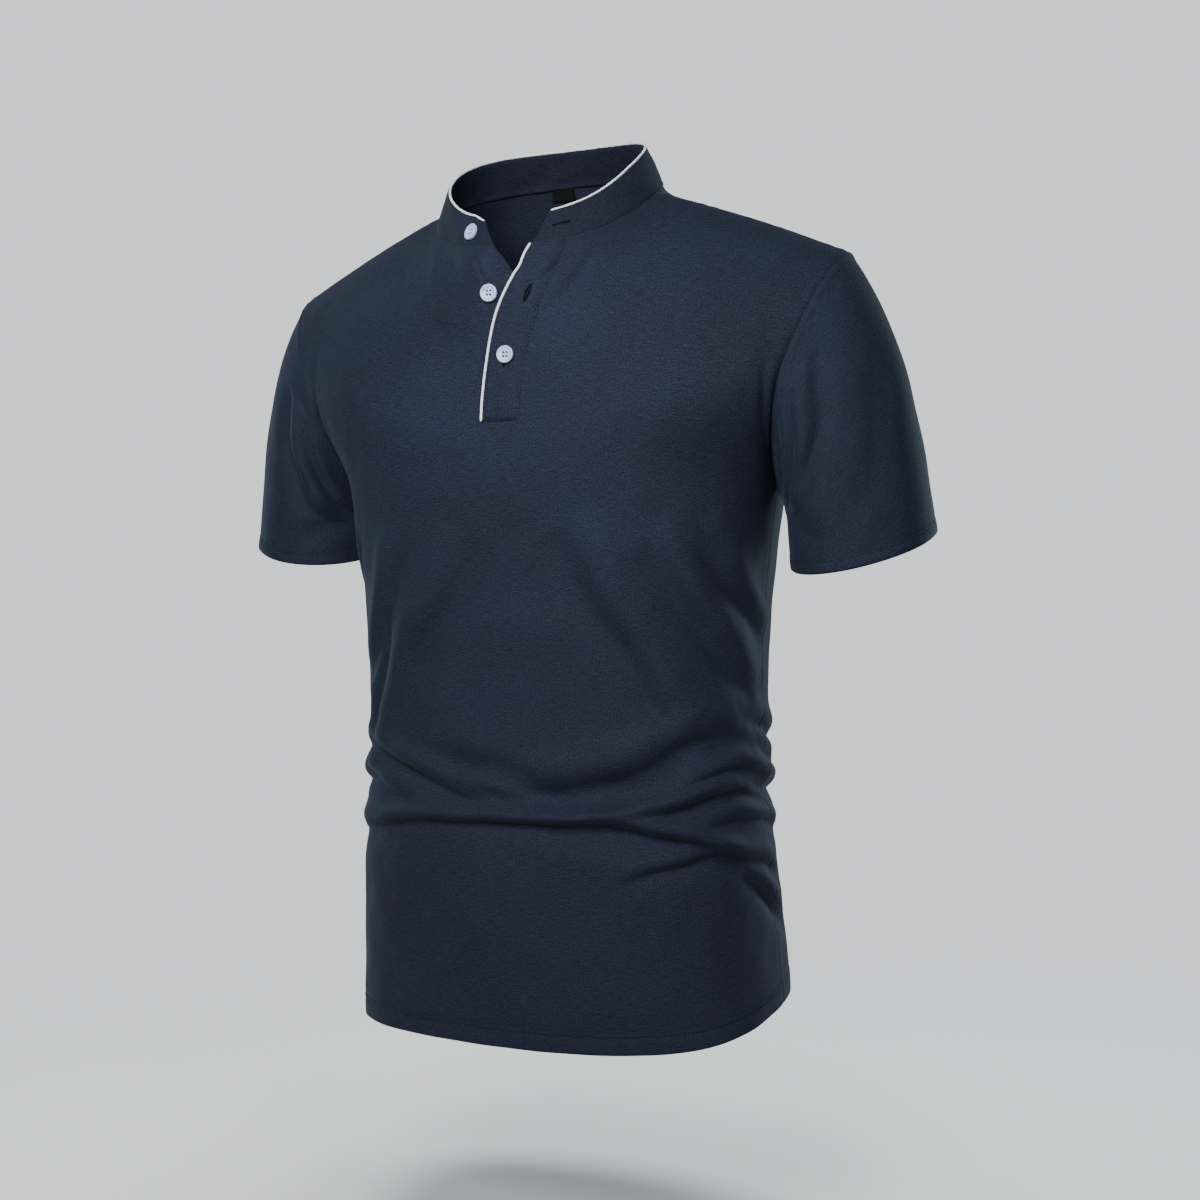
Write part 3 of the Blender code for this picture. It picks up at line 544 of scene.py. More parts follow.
    def low_at(self, across: Array, height: Array, half: Half) -> Array:
        """Points of the body below the underarm.

        Args:
            across: Places across the panel.
            height: Heights, in metres.
            half: The front or the back.

        Returns:
            A point for each place.
        """
        half_width, front, back, side = self.section_at(height)
        angle = self.quarter_turn(across)
        wide = (np.sin(angle) + self.boxiness * np.sin(3 * angle)) / (1 - self.boxiness)
        deep = (np.cos(angle) - self.boxiness * np.cos(3 * angle)) / (1 - self.boxiness)
        far = back if half is Half.BACK else front
        return np.stack([half_width * wide, side + (far - side) * deep, height], axis=-1)

    def ring_at(self, ring: NeckRing, turn: Array) -> Array:
        """Points of a neck ring at turns in radians from the front.

        Args:
            ring: The ring.
            turn: Turns in radians.

        Returns:
            A point for each turn.
        """
        degrees = wrapped(np.degrees(turn))
        sag = self.neck_sag * bell(degrees - self.neck_sag_turn, self.neck_sag_spread)
        height = ring.middle - ring.tilt * np.cos(turn) - ring.dip * np.cos(2 * turn) - sag
        start, full, end = self.poke_turns
        poke = self.poke * ease(degrees, start, full) * (1 - ease(degrees, full, end))
        depth = ring.centre_y - ring.half_depth * np.cos(turn) - poke
        return np.stack([ring.half_width * np.sin(turn), depth, height], axis=-1)

    def neck_turn(self, across: Array, half: Half) -> Array:
        """Turn round the neckline, in radians, for a place across a panel."""
        angle = math.pi / 2 * np.asarray(across) / self.neck_share
        return np.where(angle < 0, -math.pi, math.pi) - angle if half is Half.BACK else angle

    def top_edge(self, across: Array, half: Half) -> Array:
        """Points of the neckline and, outside it, of the shoulder seams.

        Args:
            across: Places across the panel.
            half: The front or the back.

        Returns:
            A point for each place.
        """
        inner = np.clip(across, -self.neck_share, self.neck_share)
        neck = self.ring_at(self.neckline, self.neck_turn(inner, half))
        point = self.ring_at(self.neckline, np.full_like(across, math.pi / 2))
        out = np.clip((np.abs(across) - self.neck_share) / (1 - self.neck_share), 0, 1)[..., None]
        seam = point + (np.array(self.shoulder_tip) - point) * out
        seam[..., 0] *= np.sign(across)
        seam[..., 2] += self.shoulder_rise * np.sin(math.pi * out[..., 0])
        return np.where(np.abs(across)[..., None] > self.neck_share, seam, neck)

    def level_at(self, level: Level, across: Array) -> Array:
        """Points across the chest or the shoulder blades.

        Args:
            level: The line.
            across: Places across the panel.

        Returns:
            A point for each place.
        """
        turn = math.radians(level.turn)
        bend = (1 - np.cos(across * turn)) / (1 - math.cos(turn))
        x = level.edge_x * np.sin(across * turn) / math.sin(turn)
        y = level.centre_y + (level.edge_y - level.centre_y) * bend
        z = level.centre_z + (level.edge_z - level.centre_z) * bend
        return np.stack([x, y, z], axis=-1)

    def slope_at(self, slope: Slope, across: Array, half: Half) -> Array:
        """A slope over a grid. Its sideways part follows the side of the neck.

        Args:
            slope: The slope.
            across: Places across the panel.
            half: The front or the back.

        Returns:
            A slope for each place.
        """
        sideways = -slope.sideways * np.sin(math.pi / 2 * np.clip(across / self.neck_share, -1, 1))
        inwards = np.full_like(across, -slope.inwards * half.value)
        return np.stack([sideways, inwards, np.full_like(across, slope.up)], axis=-1)

    def yoke_at(self, across: Array, share: Array, half: Half) -> Array:
        """Points above the underarm, where share runs from 0 at the underarm to 1 at the top edge.

        Args:
            across: Places across the panel.
            share: From 0 at the underarm to 1 at the top edge.
            half: The front or the back.

        Returns:
            A point for each place.
        """
        low = self.low_at(across, np.full_like(across, self.underarm), half)
        below = self.low_at(across, np.full_like(across, self.underarm - self.underarm_step), half)
        middle = self.level_at(self.blades if half is Half.BACK else self.chest, across)
        top = self.top_edge(across, half)
        armhole = ease(np.abs(across), *self.armhole_blend)[..., None]
        straight_on = (low - below) * self.underarm_span / self.underarm_step
        low_slope = straight_on * (1 - armhole) + self.slope_at(self.armhole_slope, across, half) * armhole
        shoulder = ease(np.abs(across), *self.shoulder_blend)[..., None]
        neck_slope = self.slope_at(self.neck_slope, across, half)
        top_slope = neck_slope * (1 - shoulder) + self.slope_at(self.shoulder_slope, across, half) * shoulder
        middle_slope = (top - low) * self.level_pull
        below_slope = middle_slope * self.level_share / (1 - self.level_share)
        lower = hermite(np.clip(share / self.level_share, 0, 1), low, low_slope, middle, below_slope)
        above = np.clip((share - self.level_share) / (1 - self.level_share), 0, 1)
        upper = hermite(above, middle, middle_slope, top, top_slope)
        return np.where((share < self.level_share)[..., None], lower, upper)

    def smooth(self, across: Array, up: Array, half: Half) -> Array:
        """Points of the body without its folds.

        Args:
            across: Places across the panel.
            up: Places up the body.
            half: The front or the back.

        Returns:
            A point for each place.
        """
        across, up = np.broadcast_arrays(np.asarray(across, float), np.asarray(up, float))
        turn = self.turn_of(across, half)
        hem = self.hem + self.hem_ride * bell(wrapped(turn - self.hem_ride_turn), self.hem_ride_spread)
        height = hem + (self.underarm - hem) * np.clip(up, 0, 1)
        low = self.low_at(across, height, half)
        high = self.yoke_at(across, np.clip(up - 1, 0, 1), half)
        return np.where((up < 1)[..., None], low, high)

    def fold_heights(self, turn: Array, height: Array) -> Array:
        """How far the folds and small wrinkles move the cloth outwards.

        Args:
            turn: Turns from the centre front, in degrees.
            height: Heights of the smooth body.

        Returns:
            The distance outwards at each place.
        """
        flat = np.array([self.girth_per_turn, 1])
        x = turn * self.girth_per_turn
        warp_x = x + self.drift_along.height(x, height)
        warp_z = height + self.drift_up.height(x, height)
        total = 0
        for whole_turn in (-360, 0, 360):
            place = warp_x + whole_turn * self.girth_per_turn
            for fold in self.folds:
                total = total + fold.height(place, warp_z, flat)
            for crease in self.creases:
                total = total + crease.height(place, warp_z, self.girth_per_turn)
        waist = bell(height - self.waist_height, self.waist_reach)
        total = total + waist * self.waist_wrinkles.height(x, height)
        return total + self.broad_waves.height(x, height) + self.fine_waves.height(x, height)

    def at(self, across: Array, up: Array, half: Half) -> Array:
        """Points of the outer face of the body, folds and all.

        Args:
            across: Places across the panel.
            up: Places up the body.
            half: The front or the back.

        Returns:
            A point for each place.
        """
        points = self.smooth(across, up, half)
        small = 1e-4
        along = self.smooth(across + small, up, half) - self.smooth(across - small, up, half)
        rise = self.smooth(across, up + small, half) - self.smooth(across, up - small, half)
        normal = -half.value * unit(np.cross(along, rise))
        turn = self.turn_of(across, half) + 0 * points[..., 0]
        moved = self.fold_heights(turn, points[..., 2])
        armhole = ease(np.abs(across), *self.armhole_hold) * ease(up, *self.armhole_hold_up)
        held = np.clip(armhole + ease(up, *self.top_hold), 0, 1)
        return points + normal * (moved * (1 - held))[..., None]


@dataclass
class PlacketForm:
    """The slot in the front and the two strips that close it."""

    body: BodyForm
    slot_right: float = -0.018
    slot_left: float = 0.0605
    slot_foot: float = 1.285
    over_right: float = -0.0435
    over_left: float = 0.0705
    foot: float = 1.245
    lift: float = 0.0021
    spreads: dict[Side, Spread] = field(
        default_factory=lambda: {
            Side.LEFT: Spread(free_edge=-0.0435, amount=0.120, start=1.30, power=1.6, reach=0.380),
            Side.RIGHT: Spread(free_edge=0.0605, amount=0.0755, start=1.68, power=2.1, reach=0.174),
        }
    )

    def opened(self, across: Array, up: Array, side: Side) -> Array:
        """The place across the front once the placket is spread open.

        Args:
            across: Places across the panel.
            up: Places up the body.
            side: The wearer's side.

        Returns:
            The moved places.
        """
        spread, sign = self.spreads[side], side.value
        share = np.clip((np.asarray(up, float) - spread.start) / (2 - spread.start), 0, 1) ** spread.power
        hold = 1 - ease(sign * np.asarray(across, float), sign * spread.free_edge, spread.reach)
        return across + sign * spread.amount * share * hold

    def outward(self, across: Array, up: Array, side: Side) -> Array:
        """The outward direction of the front where a strip lies on it.

        Args:
            across: Places across the panel.
            up: Places up the body.
            side: The wearer's side.

        Returns:
            A unit vector for each place.
        """
        small = 1e-3
        moved = self.opened(across, up, side)
        along = self.body.at(moved + small, up, Half.FRONT) - self.body.at(moved - small, up, Half.FRONT)
        rise = self.body.at(moved, up, Half.FRONT) - self.body.at(moved, up - small, Half.FRONT)
        return unit(np.cross(along, rise))

    def at(self, across: Array, up: Array, side: Side, lift: Array | float) -> Array:
        """Points of a strip, made from the front's places and moved out by lift.

        Args:
            across: Places across the panel.
            up: Places up the body.
            side: The wearer's side.
            lift: How far out the points lie.

        Returns:
            A point for each place.
        """
        across, up = np.broadcast_arrays(np.asarray(across, float), np.asarray(up, float))
        points = self.body.at(self.opened(across, up, side), up, Half.FRONT)
        return points + self.outward(across, up, side) * np.asarray(lift + 0 * across)[..., None]


@dataclass
class BandForm:
    """The standing collar band."""

    body: BodyForm
    placket: PlacketForm
    top: NeckRing = NeckRing(0.080, 0.0655, -0.0365, middle=0.0207, tilt=0.0416, dip=0.0063)
    cloth: float = 0.0024
    corner_drop: float = 0.15
    corner_turn: float = 11.0
    slants: dict[Side, Slant] = field(
        default_factory=lambda: {
            Side.LEFT: Slant(end_turn=12.0, fade_turn=55.0, amount=9.5),
            Side.RIGHT: Slant(end_turn=2.0, fade_turn=45.0, amount=10.0),
        }
    )

    def corner(self, turn: Array) -> Array:
        """How much of the band's height is left at each turn, where its right end is rounded."""
        from_end = np.degrees(self.ends()[0] - turn)
        return 1 - self.corner_drop * (1 - ease(from_end, 0, self.corner_turn)) ** 2

    def ends(self) -> Span:
        """Turns of the band's right and left ends, from the right end round the back to the left one.

        Returns:
            The two turns, in radians.
        """
        right = self.body.neck_turn(self.placket.opened(self.placket.slot_left, 2.0, Side.RIGHT), Half.FRONT)
        left = self.body.neck_turn(self.placket.opened(self.placket.over_right, 2.0, Side.LEFT), Half.FRONT)
        return float(right), float(left) - FULL_TURN

    def at(self, turn: Array, share: Array) -> Array:
        """Points of the outer face, where share runs from 0 at the neckline to 1 at the top.

        Args:
            turn: Turns in radians.
            share: From 0 at the neckline to 1 at the top.

        Returns:
            A point for each place.
        """
        degrees = wrapped(np.degrees(turn))
        cut = 0
        for side, slant in self.slants.items():
            near_end = 1 - ease(side.value * degrees, slant.end_turn, slant.fade_turn)
            cut = cut + side.value * slant.amount * near_end * (side.value * degrees > 0)
        share = share * self.corner(turn)
        low = self.body.ring_at(self.body.neckline, turn + np.radians(cut * share))
        high = self.body.ring_at(self.top, turn + np.radians(cut * share))
        return low + (high - low) * np.asarray(share)[..., None]

    def outward(self, turn: Array, share: Array) -> Array:
        """The outward direction of the band.

        Args:
            turn: Turns in radians.
            share: From 0 at the neckline to 1 at the top.

        Returns:
            A unit vector for each place.
        """
        small = 1e-3
        along = self.at(turn + small, share) - self.at(turn - small, share)
        rise = self.at(turn, share + small) - self.at(turn, share - small)
        return unit(np.cross(along, rise))


@dataclass
class SleeveForm:
    """A set-in sleeve, from its armhole to its hem."""

    body: BodyForm
    side: Side
    rows: Array
    centres: dict[Side, Triple] = field(
        default_factory=lambda: {Side.LEFT: (0.2395, 0.010, -0.2715), Side.RIGHT: (0.2340, 0.010, -0.2610)}
    )
    half_width: float = 0.0530
    half_depth: float = 0.0610
    rise_outward: float = 0.17
    rise_back: float = 0.28
    down: Triple = (0.45, 0.00, -1.00)
    cap_out: Triple = (0.60, 0.00, -0.80)
    cuff_down: Triple = (0.12, 0.03, -1.00)
    girth: float = 0.36
    length: float = 0.20
    seam_hold: Span = (0, 0.12)
    drift_round: Ripple = Ripple(0.003, 0.070, 6)
    drift_down: Ripple = Ripple(0.003, 0.060, 7)
    waves: Ripple = Ripple(0.0005, 0.055, 8)
    # start, end, bow, width, depth, lip, edge
    folds: dict[Side, tuple[Fold, ...]] = field(
        default_factory=lambda: {
            Side.LEFT: (
                Fold((112, 0.12), (56, 0.64), 0.006, 0.0095, 0.0042, 0.8, 1.8),
                Fold((80, 0.10), (36, 0.52), 0.003, 0.0070, 0.0032, 0.9, 1.7),
                Fold((52, 0.08), (22, 0.30), 0.002, 0.0050, 0.0022, 0.9, 1.7),
                Fold((250, 0.16), (304, 0.62), -0.005, 0.0140, 0.0040, 0.6),
                Fold((22, 0.42), (70, 0.86), 0.000, 0.0130, 0.0028, 0.5),
                Fold((336, 0.38), (286, 0.84), 0.000, 0.0140, 0.0028, 0.5),
                Fold((150, 0.30), (112, 0.80), 0.004, 0.0150, 0.0020, 0.5),
            ),
            Side.RIGHT: (
                Fold((112, 0.16), (58, 0.66), 0.006, 0.0110, 0.0060, 0.8, 1.7),
                Fold((78, 0.12), (34, 0.50), 0.003, 0.0080, 0.0030, 0.7),
                Fold((250, 0.16), (304, 0.62), -0.005, 0.0140, 0.0040, 0.6),
                Fold((22, 0.42), (70, 0.86), 0.000, 0.0130, 0.0028, 0.5),
                Fold((336, 0.38), (286, 0.84), 0.000, 0.0140, 0.0028, 0.5),
                Fold((236, 0.32), (262, 0.82), 0.004, 0.0150, 0.0020, 0.5),
            ),
        }
    )

    def loop(self) -> Array:
        """Points round the armhole: up its front edge from the underarm, then down its back edge.

        Returns:
            The points, once round.
        """
        edge = np.full_like(self.rows, float(self.side.value))
        front = self.body.at(edge, self.rows, Half.FRONT)
        back = self.body.at(edge, self.rows, Half.BACK)
        return np.concatenate([front, back[-2:0:-1]])

    def angles(self, loop: Array) -> Array:
        """The angle round the sleeve of each point of the loop: 0 at the underarm and pi at the tip.

        Args:
            loop: The points round the armhole.

        Returns:
            Angles in radians.
        """
        middle = len(loop) // 2
        steps = np.linalg.norm(np.diff(loop, axis=0, append=loop[:1]), axis=1)
        length = np.concatenate([[0], np.cumsum(steps)])
        up_front = length[: middle + 1] / length[middle]
        down_back = 1 + (length[middle:-1] - length[middle]) / (length[-1] - length[middle])
        return math.pi * np.concatenate([up_front, down_back[1:]])

    def grid(self, shares: Array) -> Array:
        """Rings of the sleeve with its folds.

        Args:
            shares: Places down the sleeve, from 0 at the armhole to 1 at the hem.

        Returns:
            A ring of points for each share.
        """
        loop = self.loop()
        angle = self.angles(loop)
        mirror = np.array([self.side.value, 1, 1])
        out_x = -self.half_width * np.cos(angle)
        out_y = -self.half_depth * np.sin(angle)
        rise = self.rise_outward * out_x + self.rise_back * out_y
        cuff = (np.array(self.centres[self.side]) + np.stack([out_x, out_y, rise], axis=-1)) * mirror
        top = ((1 - np.cos(angle)) / 2)[:, None]
        leave = unit(np.array(self.down) * (1 - top) + np.array(self.cap_out) * top) * mirror
        arrive = unit(np.array(self.cuff_down)) * mirror
        reach = np.linalg.norm(cuff - loop, axis=1, keepdims=True)
        rings = np.array(
            [hermite(np.full(len(loop), s), loop, leave * reach, cuff, arrive * reach) for s in shares]
        )
        turn, share = np.meshgrid(np.degrees(angle), shares)
        flat = np.array([self.girth / 360, -self.length])
        x, z = turn * flat[0], share * flat[1]
        warp_x = x + self.drift_round.height(x, z)
        warp_z = z + self.drift_down.height(x, z)
        moved = self.waves.height(x, z) * np.sin(np.radians(turn / 2))
        for fold in self.folds[self.side]:
            moved = moved + fold.height(warp_x, warp_z, flat)
        return rings + self.outward(rings) * (moved * ease(share, *self.seam_hold))[..., None]

    def outward(self, rings: Array) -> Array:
        """The outward direction at each point of the rings.

        Args:
            rings: The rings.

        Returns:
            A unit vector for each point.
        """
        down = np.gradient(rings, axis=0)
        round_it = np.roll(rings, -1, axis=1) - np.roll(rings, 1, axis=1)
        return unit(np.cross(down, round_it)) * self.side.value


# ---------------------------------------------------------------- walls of cloth


@dataclass
class Wall:
    """A grid of points on the outer face of a piece of cloth, made into a closed wall."""

    name: str
    points: Array
    outward: Array
    thickness: Array
    flat: Array
    is_ring: bool = False
    is_flipped: bool = False
    gone: Array | None = None
    roll: float = 0.4

    def faces(self) -> list[tuple[int, int, int, int]]:
        """Quads of the outer face, without those that are gone.

        Returns:
            The quads, as indices of points.
        """
        rows, columns = self.points.shape[:2]
        quads = []
        for row in range(rows - 1):
            for column in range(columns if self.is_ring else columns - 1):
                if self.gone is not None and self.gone[row, column]:
                    continue
                after = (column + 1) % columns
                low, high = row * columns, (row + 1) * columns
                quad = (low + column, low + after, high + after, high + column)
                quads.append(quad[::-1] if self.is_flipped else quad)
        return quads

    def build(self) -> Piece:
        """The finished wall, with a rounded rim and a UV map in metres of flat cloth.

        Returns:
            The object.
        """
        outer = self.points.reshape(-1, 3)
        normals = self.outward.reshape(-1, 3)
        depth = np.broadcast_to(self.thickness, self.points.shape[:2]).reshape(-1, 1)
        inner = outer - normals * depth
        count = len(outer)
        faces = self.faces()
        ends = [(face[i], face[(i + 1) % 4]) for face in faces for i in range(4)]
        seen = Counter((min(end), max(end)) for end in ends)
        rim = [end for end in ends if seen[(min(end), max(end))] == 1]
        away = defaultdict(lambda: np.zeros(3))
        for a, b in rim:
            side = np.cross(outer[b] - outer[a], normals[a])
            away[a] += unit(side)
            away[b] += unit(side)
        middle = {index: 2 * count + order for order, index in enumerate(away)}
        bulge = [(outer[i] + inner[i]) / 2 + unit(away[i]) * depth[i] * self.roll for i in away]
        walls = list(faces)
        walls += [tuple(index + count for index in reversed(face)) for face in faces]
        for a, b in rim:
            walls.append((b, a, middle[a], middle[b]))
            walls.append((middle[b], middle[a], a + count, b + count))
        flat = self.flat.reshape(-1, 2)
        rim_flat = np.array([flat[index] for index in away]).reshape(-1, 2)
        points = np.concatenate([outer, inner, np.array(bulge).reshape(-1, 3)])
        thing = new_mesh(self.name, points, walls, np.concatenate([flat, flat, rim_flat]))
        drop_loose(thing)
        return thing


def tube_faces(start: int, sides: int, rings: int) -> list[tuple[int, ...]]:
    """Faces of a tube of rings whose two ends are closed.

    Args:
        start: Index of its first point.
        sides: Points in a ring.
        rings: How many rings there are.

    Returns:
        Its sides and then its two ends.
    """
    faces = []
    for level in range(rings - 1):
        low, high = start + level * sides, start + (level + 1) * sides
        for step in range(sides):
            after = (step + 1) % sides
            faces.append((low + step, low + after, high + after, high + step))
    first = tuple(start + step for step in range(sides))
    last = tuple(start + (rings - 1) * sides + step for step in range(sides))
    return [*faces, first[::-1], last]


def new_mesh(name: str, points: Array, faces: list[tuple[int, ...]], flat: Array) -> Piece:
    """A smooth-shaded object at the origin with its place in its mesh.

    Args:
        name: The piece's name.
        points: Its points.
        faces: Its faces, as indices of points.
        flat: The place of each point on flat cloth, for the UV map.

    Returns:
        The object, linked to the scene.
    """
    mesh = bpy.data.meshes.new(name)
    mesh.from_pydata(points.tolist(), [], faces)
    loops = np.zeros(len(mesh.loops), dtype=np.int32)
    mesh.loops.foreach_get("vertex_index", loops)
    layer = mesh.uv_layers.new(name=CLOTH_MAP)
    layer.data.foreach_set("uv", flat[loops].astype(np.float32).ravel())
    mesh.shade_smooth()
    thing = bpy.data.objects.new(name, mesh)
    bpy.context.scene.collection.objects.link(thing)
    return thing


def drop_loose(thing: Piece) -> None:
    """Removes the points that no face uses.

    Args:
        thing: The object.
    """
    shape = bmesh.new()
    shape.from_mesh(thing.data)
    loose = [vertex for vertex in shape.verts if not vertex.link_faces]
    bmesh.ops.delete(shape, geom=loose, context="VERTS")
    shape.to_mesh(thing.data)
    shape.free()


def grid_outward(points: Array, is_ring: bool = False) -> Array:
    """The direction across a grid: along its rows crossed with up its columns.

    Args:
        points: A grid of points.
        is_ring: Whether the last column meets the first.

    Returns:
        A unit vector at each point.
    """
    rise = np.gradient(points, axis=0)
    if is_ring:
        along = np.roll(points, -1, axis=1) - np.roll(points, 1, axis=1)
    else:
        along = np.gradient(points, axis=1)
    return unit(np.cross(along, rise))


def place_key(point: Array) -> tuple[int, ...]:
    """A name for a place, the same for points that coincide."""
    return tuple(np.round(point * 2e4).astype(int))


def agree_at_seams(walls: list[Wall]) -> None:
    """Makes the outward directions of walls agree where their edges meet.

    Args:
        walls: The walls.
    """
    total = defaultdict(lambda: np.zeros(3))
    edges = []
    for wall in walls:
        rows, columns = wall.points.shape[:2]
        rim = {(r, c) for r in (0, rows - 1) for c in range(columns)}
        if not wall.is_ring:
            rim |= {(r, c) for r in range(rows) for c in (0, columns - 1)}
        edges.append(rim)
        for row, column in rim:
            total[place_key(wall.points[row, column])] += wall.outward[row, column]
    for wall, rim in zip(walls, edges):
        for row, column in rim:
            shared = total[place_key(wall.points[row, column])]
            own = wall.outward[row, column]
            if np.dot(unit(shared), own) > 0.3:
                wall.outward[row, column] = unit(shared)


@dataclass(frozen=True)
class Seam:
    """How cloth sinks into a seam, with the bulk of its allowance beside it and small puckers."""

    depth: float = 0.0009
    width: float = 0.0016
    bulk: float = 0.00030
    bulk_at: float = 0.0042
    bulk_width: float = 0.0030
    pucker: float = 0.00022
    pucker_length: float = 0.0095

    def height(self, distance: Array, along: Array, seed: int) -> Array:
        """How far the seam moves the cloth outwards.

        Args:
            distance: Distance from the seam.
            along: Distance along it.
            seed: Picks the puckers.

        Returns:
            The distance outwards at each place.
        """
        ripple = wander(along, distance * 0.3, self.pucker_length, seed) * bell(distance - 0.004, 0.005)
        return (
            -self.depth * bell(distance, self.width)
            + self.bulk * bell(distance - self.bulk_at, self.bulk_width)
            + self.pucker * ripple
        )


@dataclass(frozen=True)
class TurnedHem:
    """A hem turned up and sewn with two rows of stitches. Its wall is thicker up to the turned edge."""

    depth: float = 0.0155
    row_gap: float = 0.0032
    swell: float = 0.00060
    groove: float = 0.00065
    groove_width: float = 0.0010
    extra: float = 0.0010
    turned_edge: Span = (0.0148, 0.0162)
    pucker: float = 0.00018
    pucker_length: float = 0.0078

    def rows(self) -> Span:
        """Distances of the two stitched rows from the edge."""
        return self.depth, self.depth - self.row_gap

    def height(self, distance: Array, along: Array, seed: int) -> Array:
        """How far the hem moves the cloth outwards, at distances from its edge and along it.

        Args:
            distance: Distances from the edge.
            along: Distances along it.
            seed: Picks the puckers.

        Returns:
            The distance outwards at each place.
        """
        total = self.swell * (1 - ease(distance, self.depth - 0.0006, self.depth + 0.0016))
        for row in self.rows():
            total = total - self.groove * bell(distance - row, self.groove_width)
        ripple = wander(along, distance * 0.2, self.pucker_length, seed)
        return total + self.pucker * ripple * bell(distance - self.depth, 0.006)

    def thickening(self, distance: Array) -> Array:
        """How much thicker the wall is at distances from its edge."""
        return self.extra * (1 - ease(distance, *self.turned_edge))


# ---------------------------------------------------------------- finishes


def new_group(
    name: str, inputs: dict[str, tuple[str, object]], outputs: dict[str, str]
) -> bpy.types.NodeTree:
    """A shader node group with its sockets and its two end nodes.

    Args:
        name: The group's name.
        inputs: Socket name to its kind and default.
        outputs: Socket name to its kind.

    Returns:
        The group.
    """
    group = bpy.data.node_groups.new(name, "ShaderNodeTree")
    for label, (kind, default) in inputs.items():
        socket = group.interface.new_socket(name=label, in_out="INPUT", socket_type=kind)
        if default is not None:
            socket.default_value = default
    for label, kind in outputs.items():
        group.interface.new_socket(name=label, in_out="OUTPUT", socket_type=kind)
    group.nodes.new("NodeGroupInput").location = (-900, 0)
    group.nodes.new("NodeGroupOutput").location = (700, 0)
    return group


@dataclass
class Graph:
    """Short ways to add nodes to a tree and join them."""

    tree: bpy.types.NodeTree

    def add(self, kind: str, **settings: object) -> bpy.types.Node:
        """Adds a node and sets its properties.

        Args:
            kind: The kind of node.
            settings: Its properties.

        Returns:
            The node.
        """
        node = self.tree.nodes.new(kind)
        for name, value in settings.items():
            setattr(node, name, value)
        return node

    def put(self, socket: Socket, source: object) -> None:
        """Joins a socket to another one, or gives it a plain value.

        Args:
            socket: The socket.
            source: A socket or a value.
        """
        if isinstance(source, Socket):
            self.tree.links.new(source, socket)
        else:
            socket.default_value = source

    def feed(self, node: bpy.types.Node, **sources: object) -> bpy.types.Node:
        """Joins or sets inputs by name, with underscores for spaces.

        Args:
            node: The node.
            sources: A socket or a value for each input.

        Returns:
            The same node.
        """
        for name, source in sources.items():
            self.put(node.inputs[name.replace("_", " ")], source)
        return node

    def maths(self, operation: str, *values: object) -> Socket:
        """A Math node's result for sockets or numbers.

        Args:
            operation: The sum that it does.
            values: Sockets or numbers.

        Returns:
            The node's output.
        """
        node = self.add("ShaderNodeMath", operation=operation)
        for socket, value in zip(node.inputs, values):
            self.put(socket, value)
        return node.outputs[0]

    def swung(self, total: object, value: object, middle: float, amount: object) -> Socket:
        """A total moved by how far a value is from its middle."""
        off = self.maths("SUBTRACT", value, middle)
        return self.maths("ADD", total, self.maths("MULTIPLY", off, amount))

    def noise(self, vector: Socket, scale: float, detail: float = 2.0) -> Socket:
        """A noise texture's value at a vector."""
        node = self.add("ShaderNodeTexNoise")
        return self.feed(node, Vector=vector, Scale=scale, Detail=detail).outputs["Fac"]

    def scaled(self, vector: Socket, factors: Triple) -> Socket:
        """A vector stretched along its axes.

        Args:
            vector: The vector.
            factors: The stretch along each axis.

        Returns:
            The node's output.
        """
        node = self.add("ShaderNodeVectorMath", operation="MULTIPLY")
        self.put(node.inputs[0], vector)
        self.put(node.inputs[1], factors)
        return node.outputs[0]

    def parts(self, vector: Socket) -> bpy.types.bpy_prop_collection:
        """A vector's three parts."""
        return self.feed(self.add("ShaderNodeSeparateXYZ"), Vector=vector).outputs

    def clamped(self, value: Socket) -> Socket:
        """A value held between 0 and 1."""
        return self.feed(self.add("ShaderNodeClamp"), Value=value).outputs[0]

    def bump(self, height: Socket, strength: float, distance: float) -> Socket:
        """The normal of a surface raised by a height."""
        node = self.add("ShaderNodeBump")
        return self.feed(node, Strength=strength, Distance=distance, Height=height).outputs[0]

    def mix(self, share: object, low: object, high: object) -> Socket:
        """A colour mixed from two.

        Args:
            share: The second colour's share.
            low: The first colour.
            high: The second colour.

        Returns:
            The node's output.
        """
        node = self.add("ShaderNodeMix", data_type="RGBA")
        for socket, value in zip((node.inputs[0], node.inputs[6], node.inputs[7]), (share, low, high)):
            self.put(socket, value)
        return node.outputs[2]


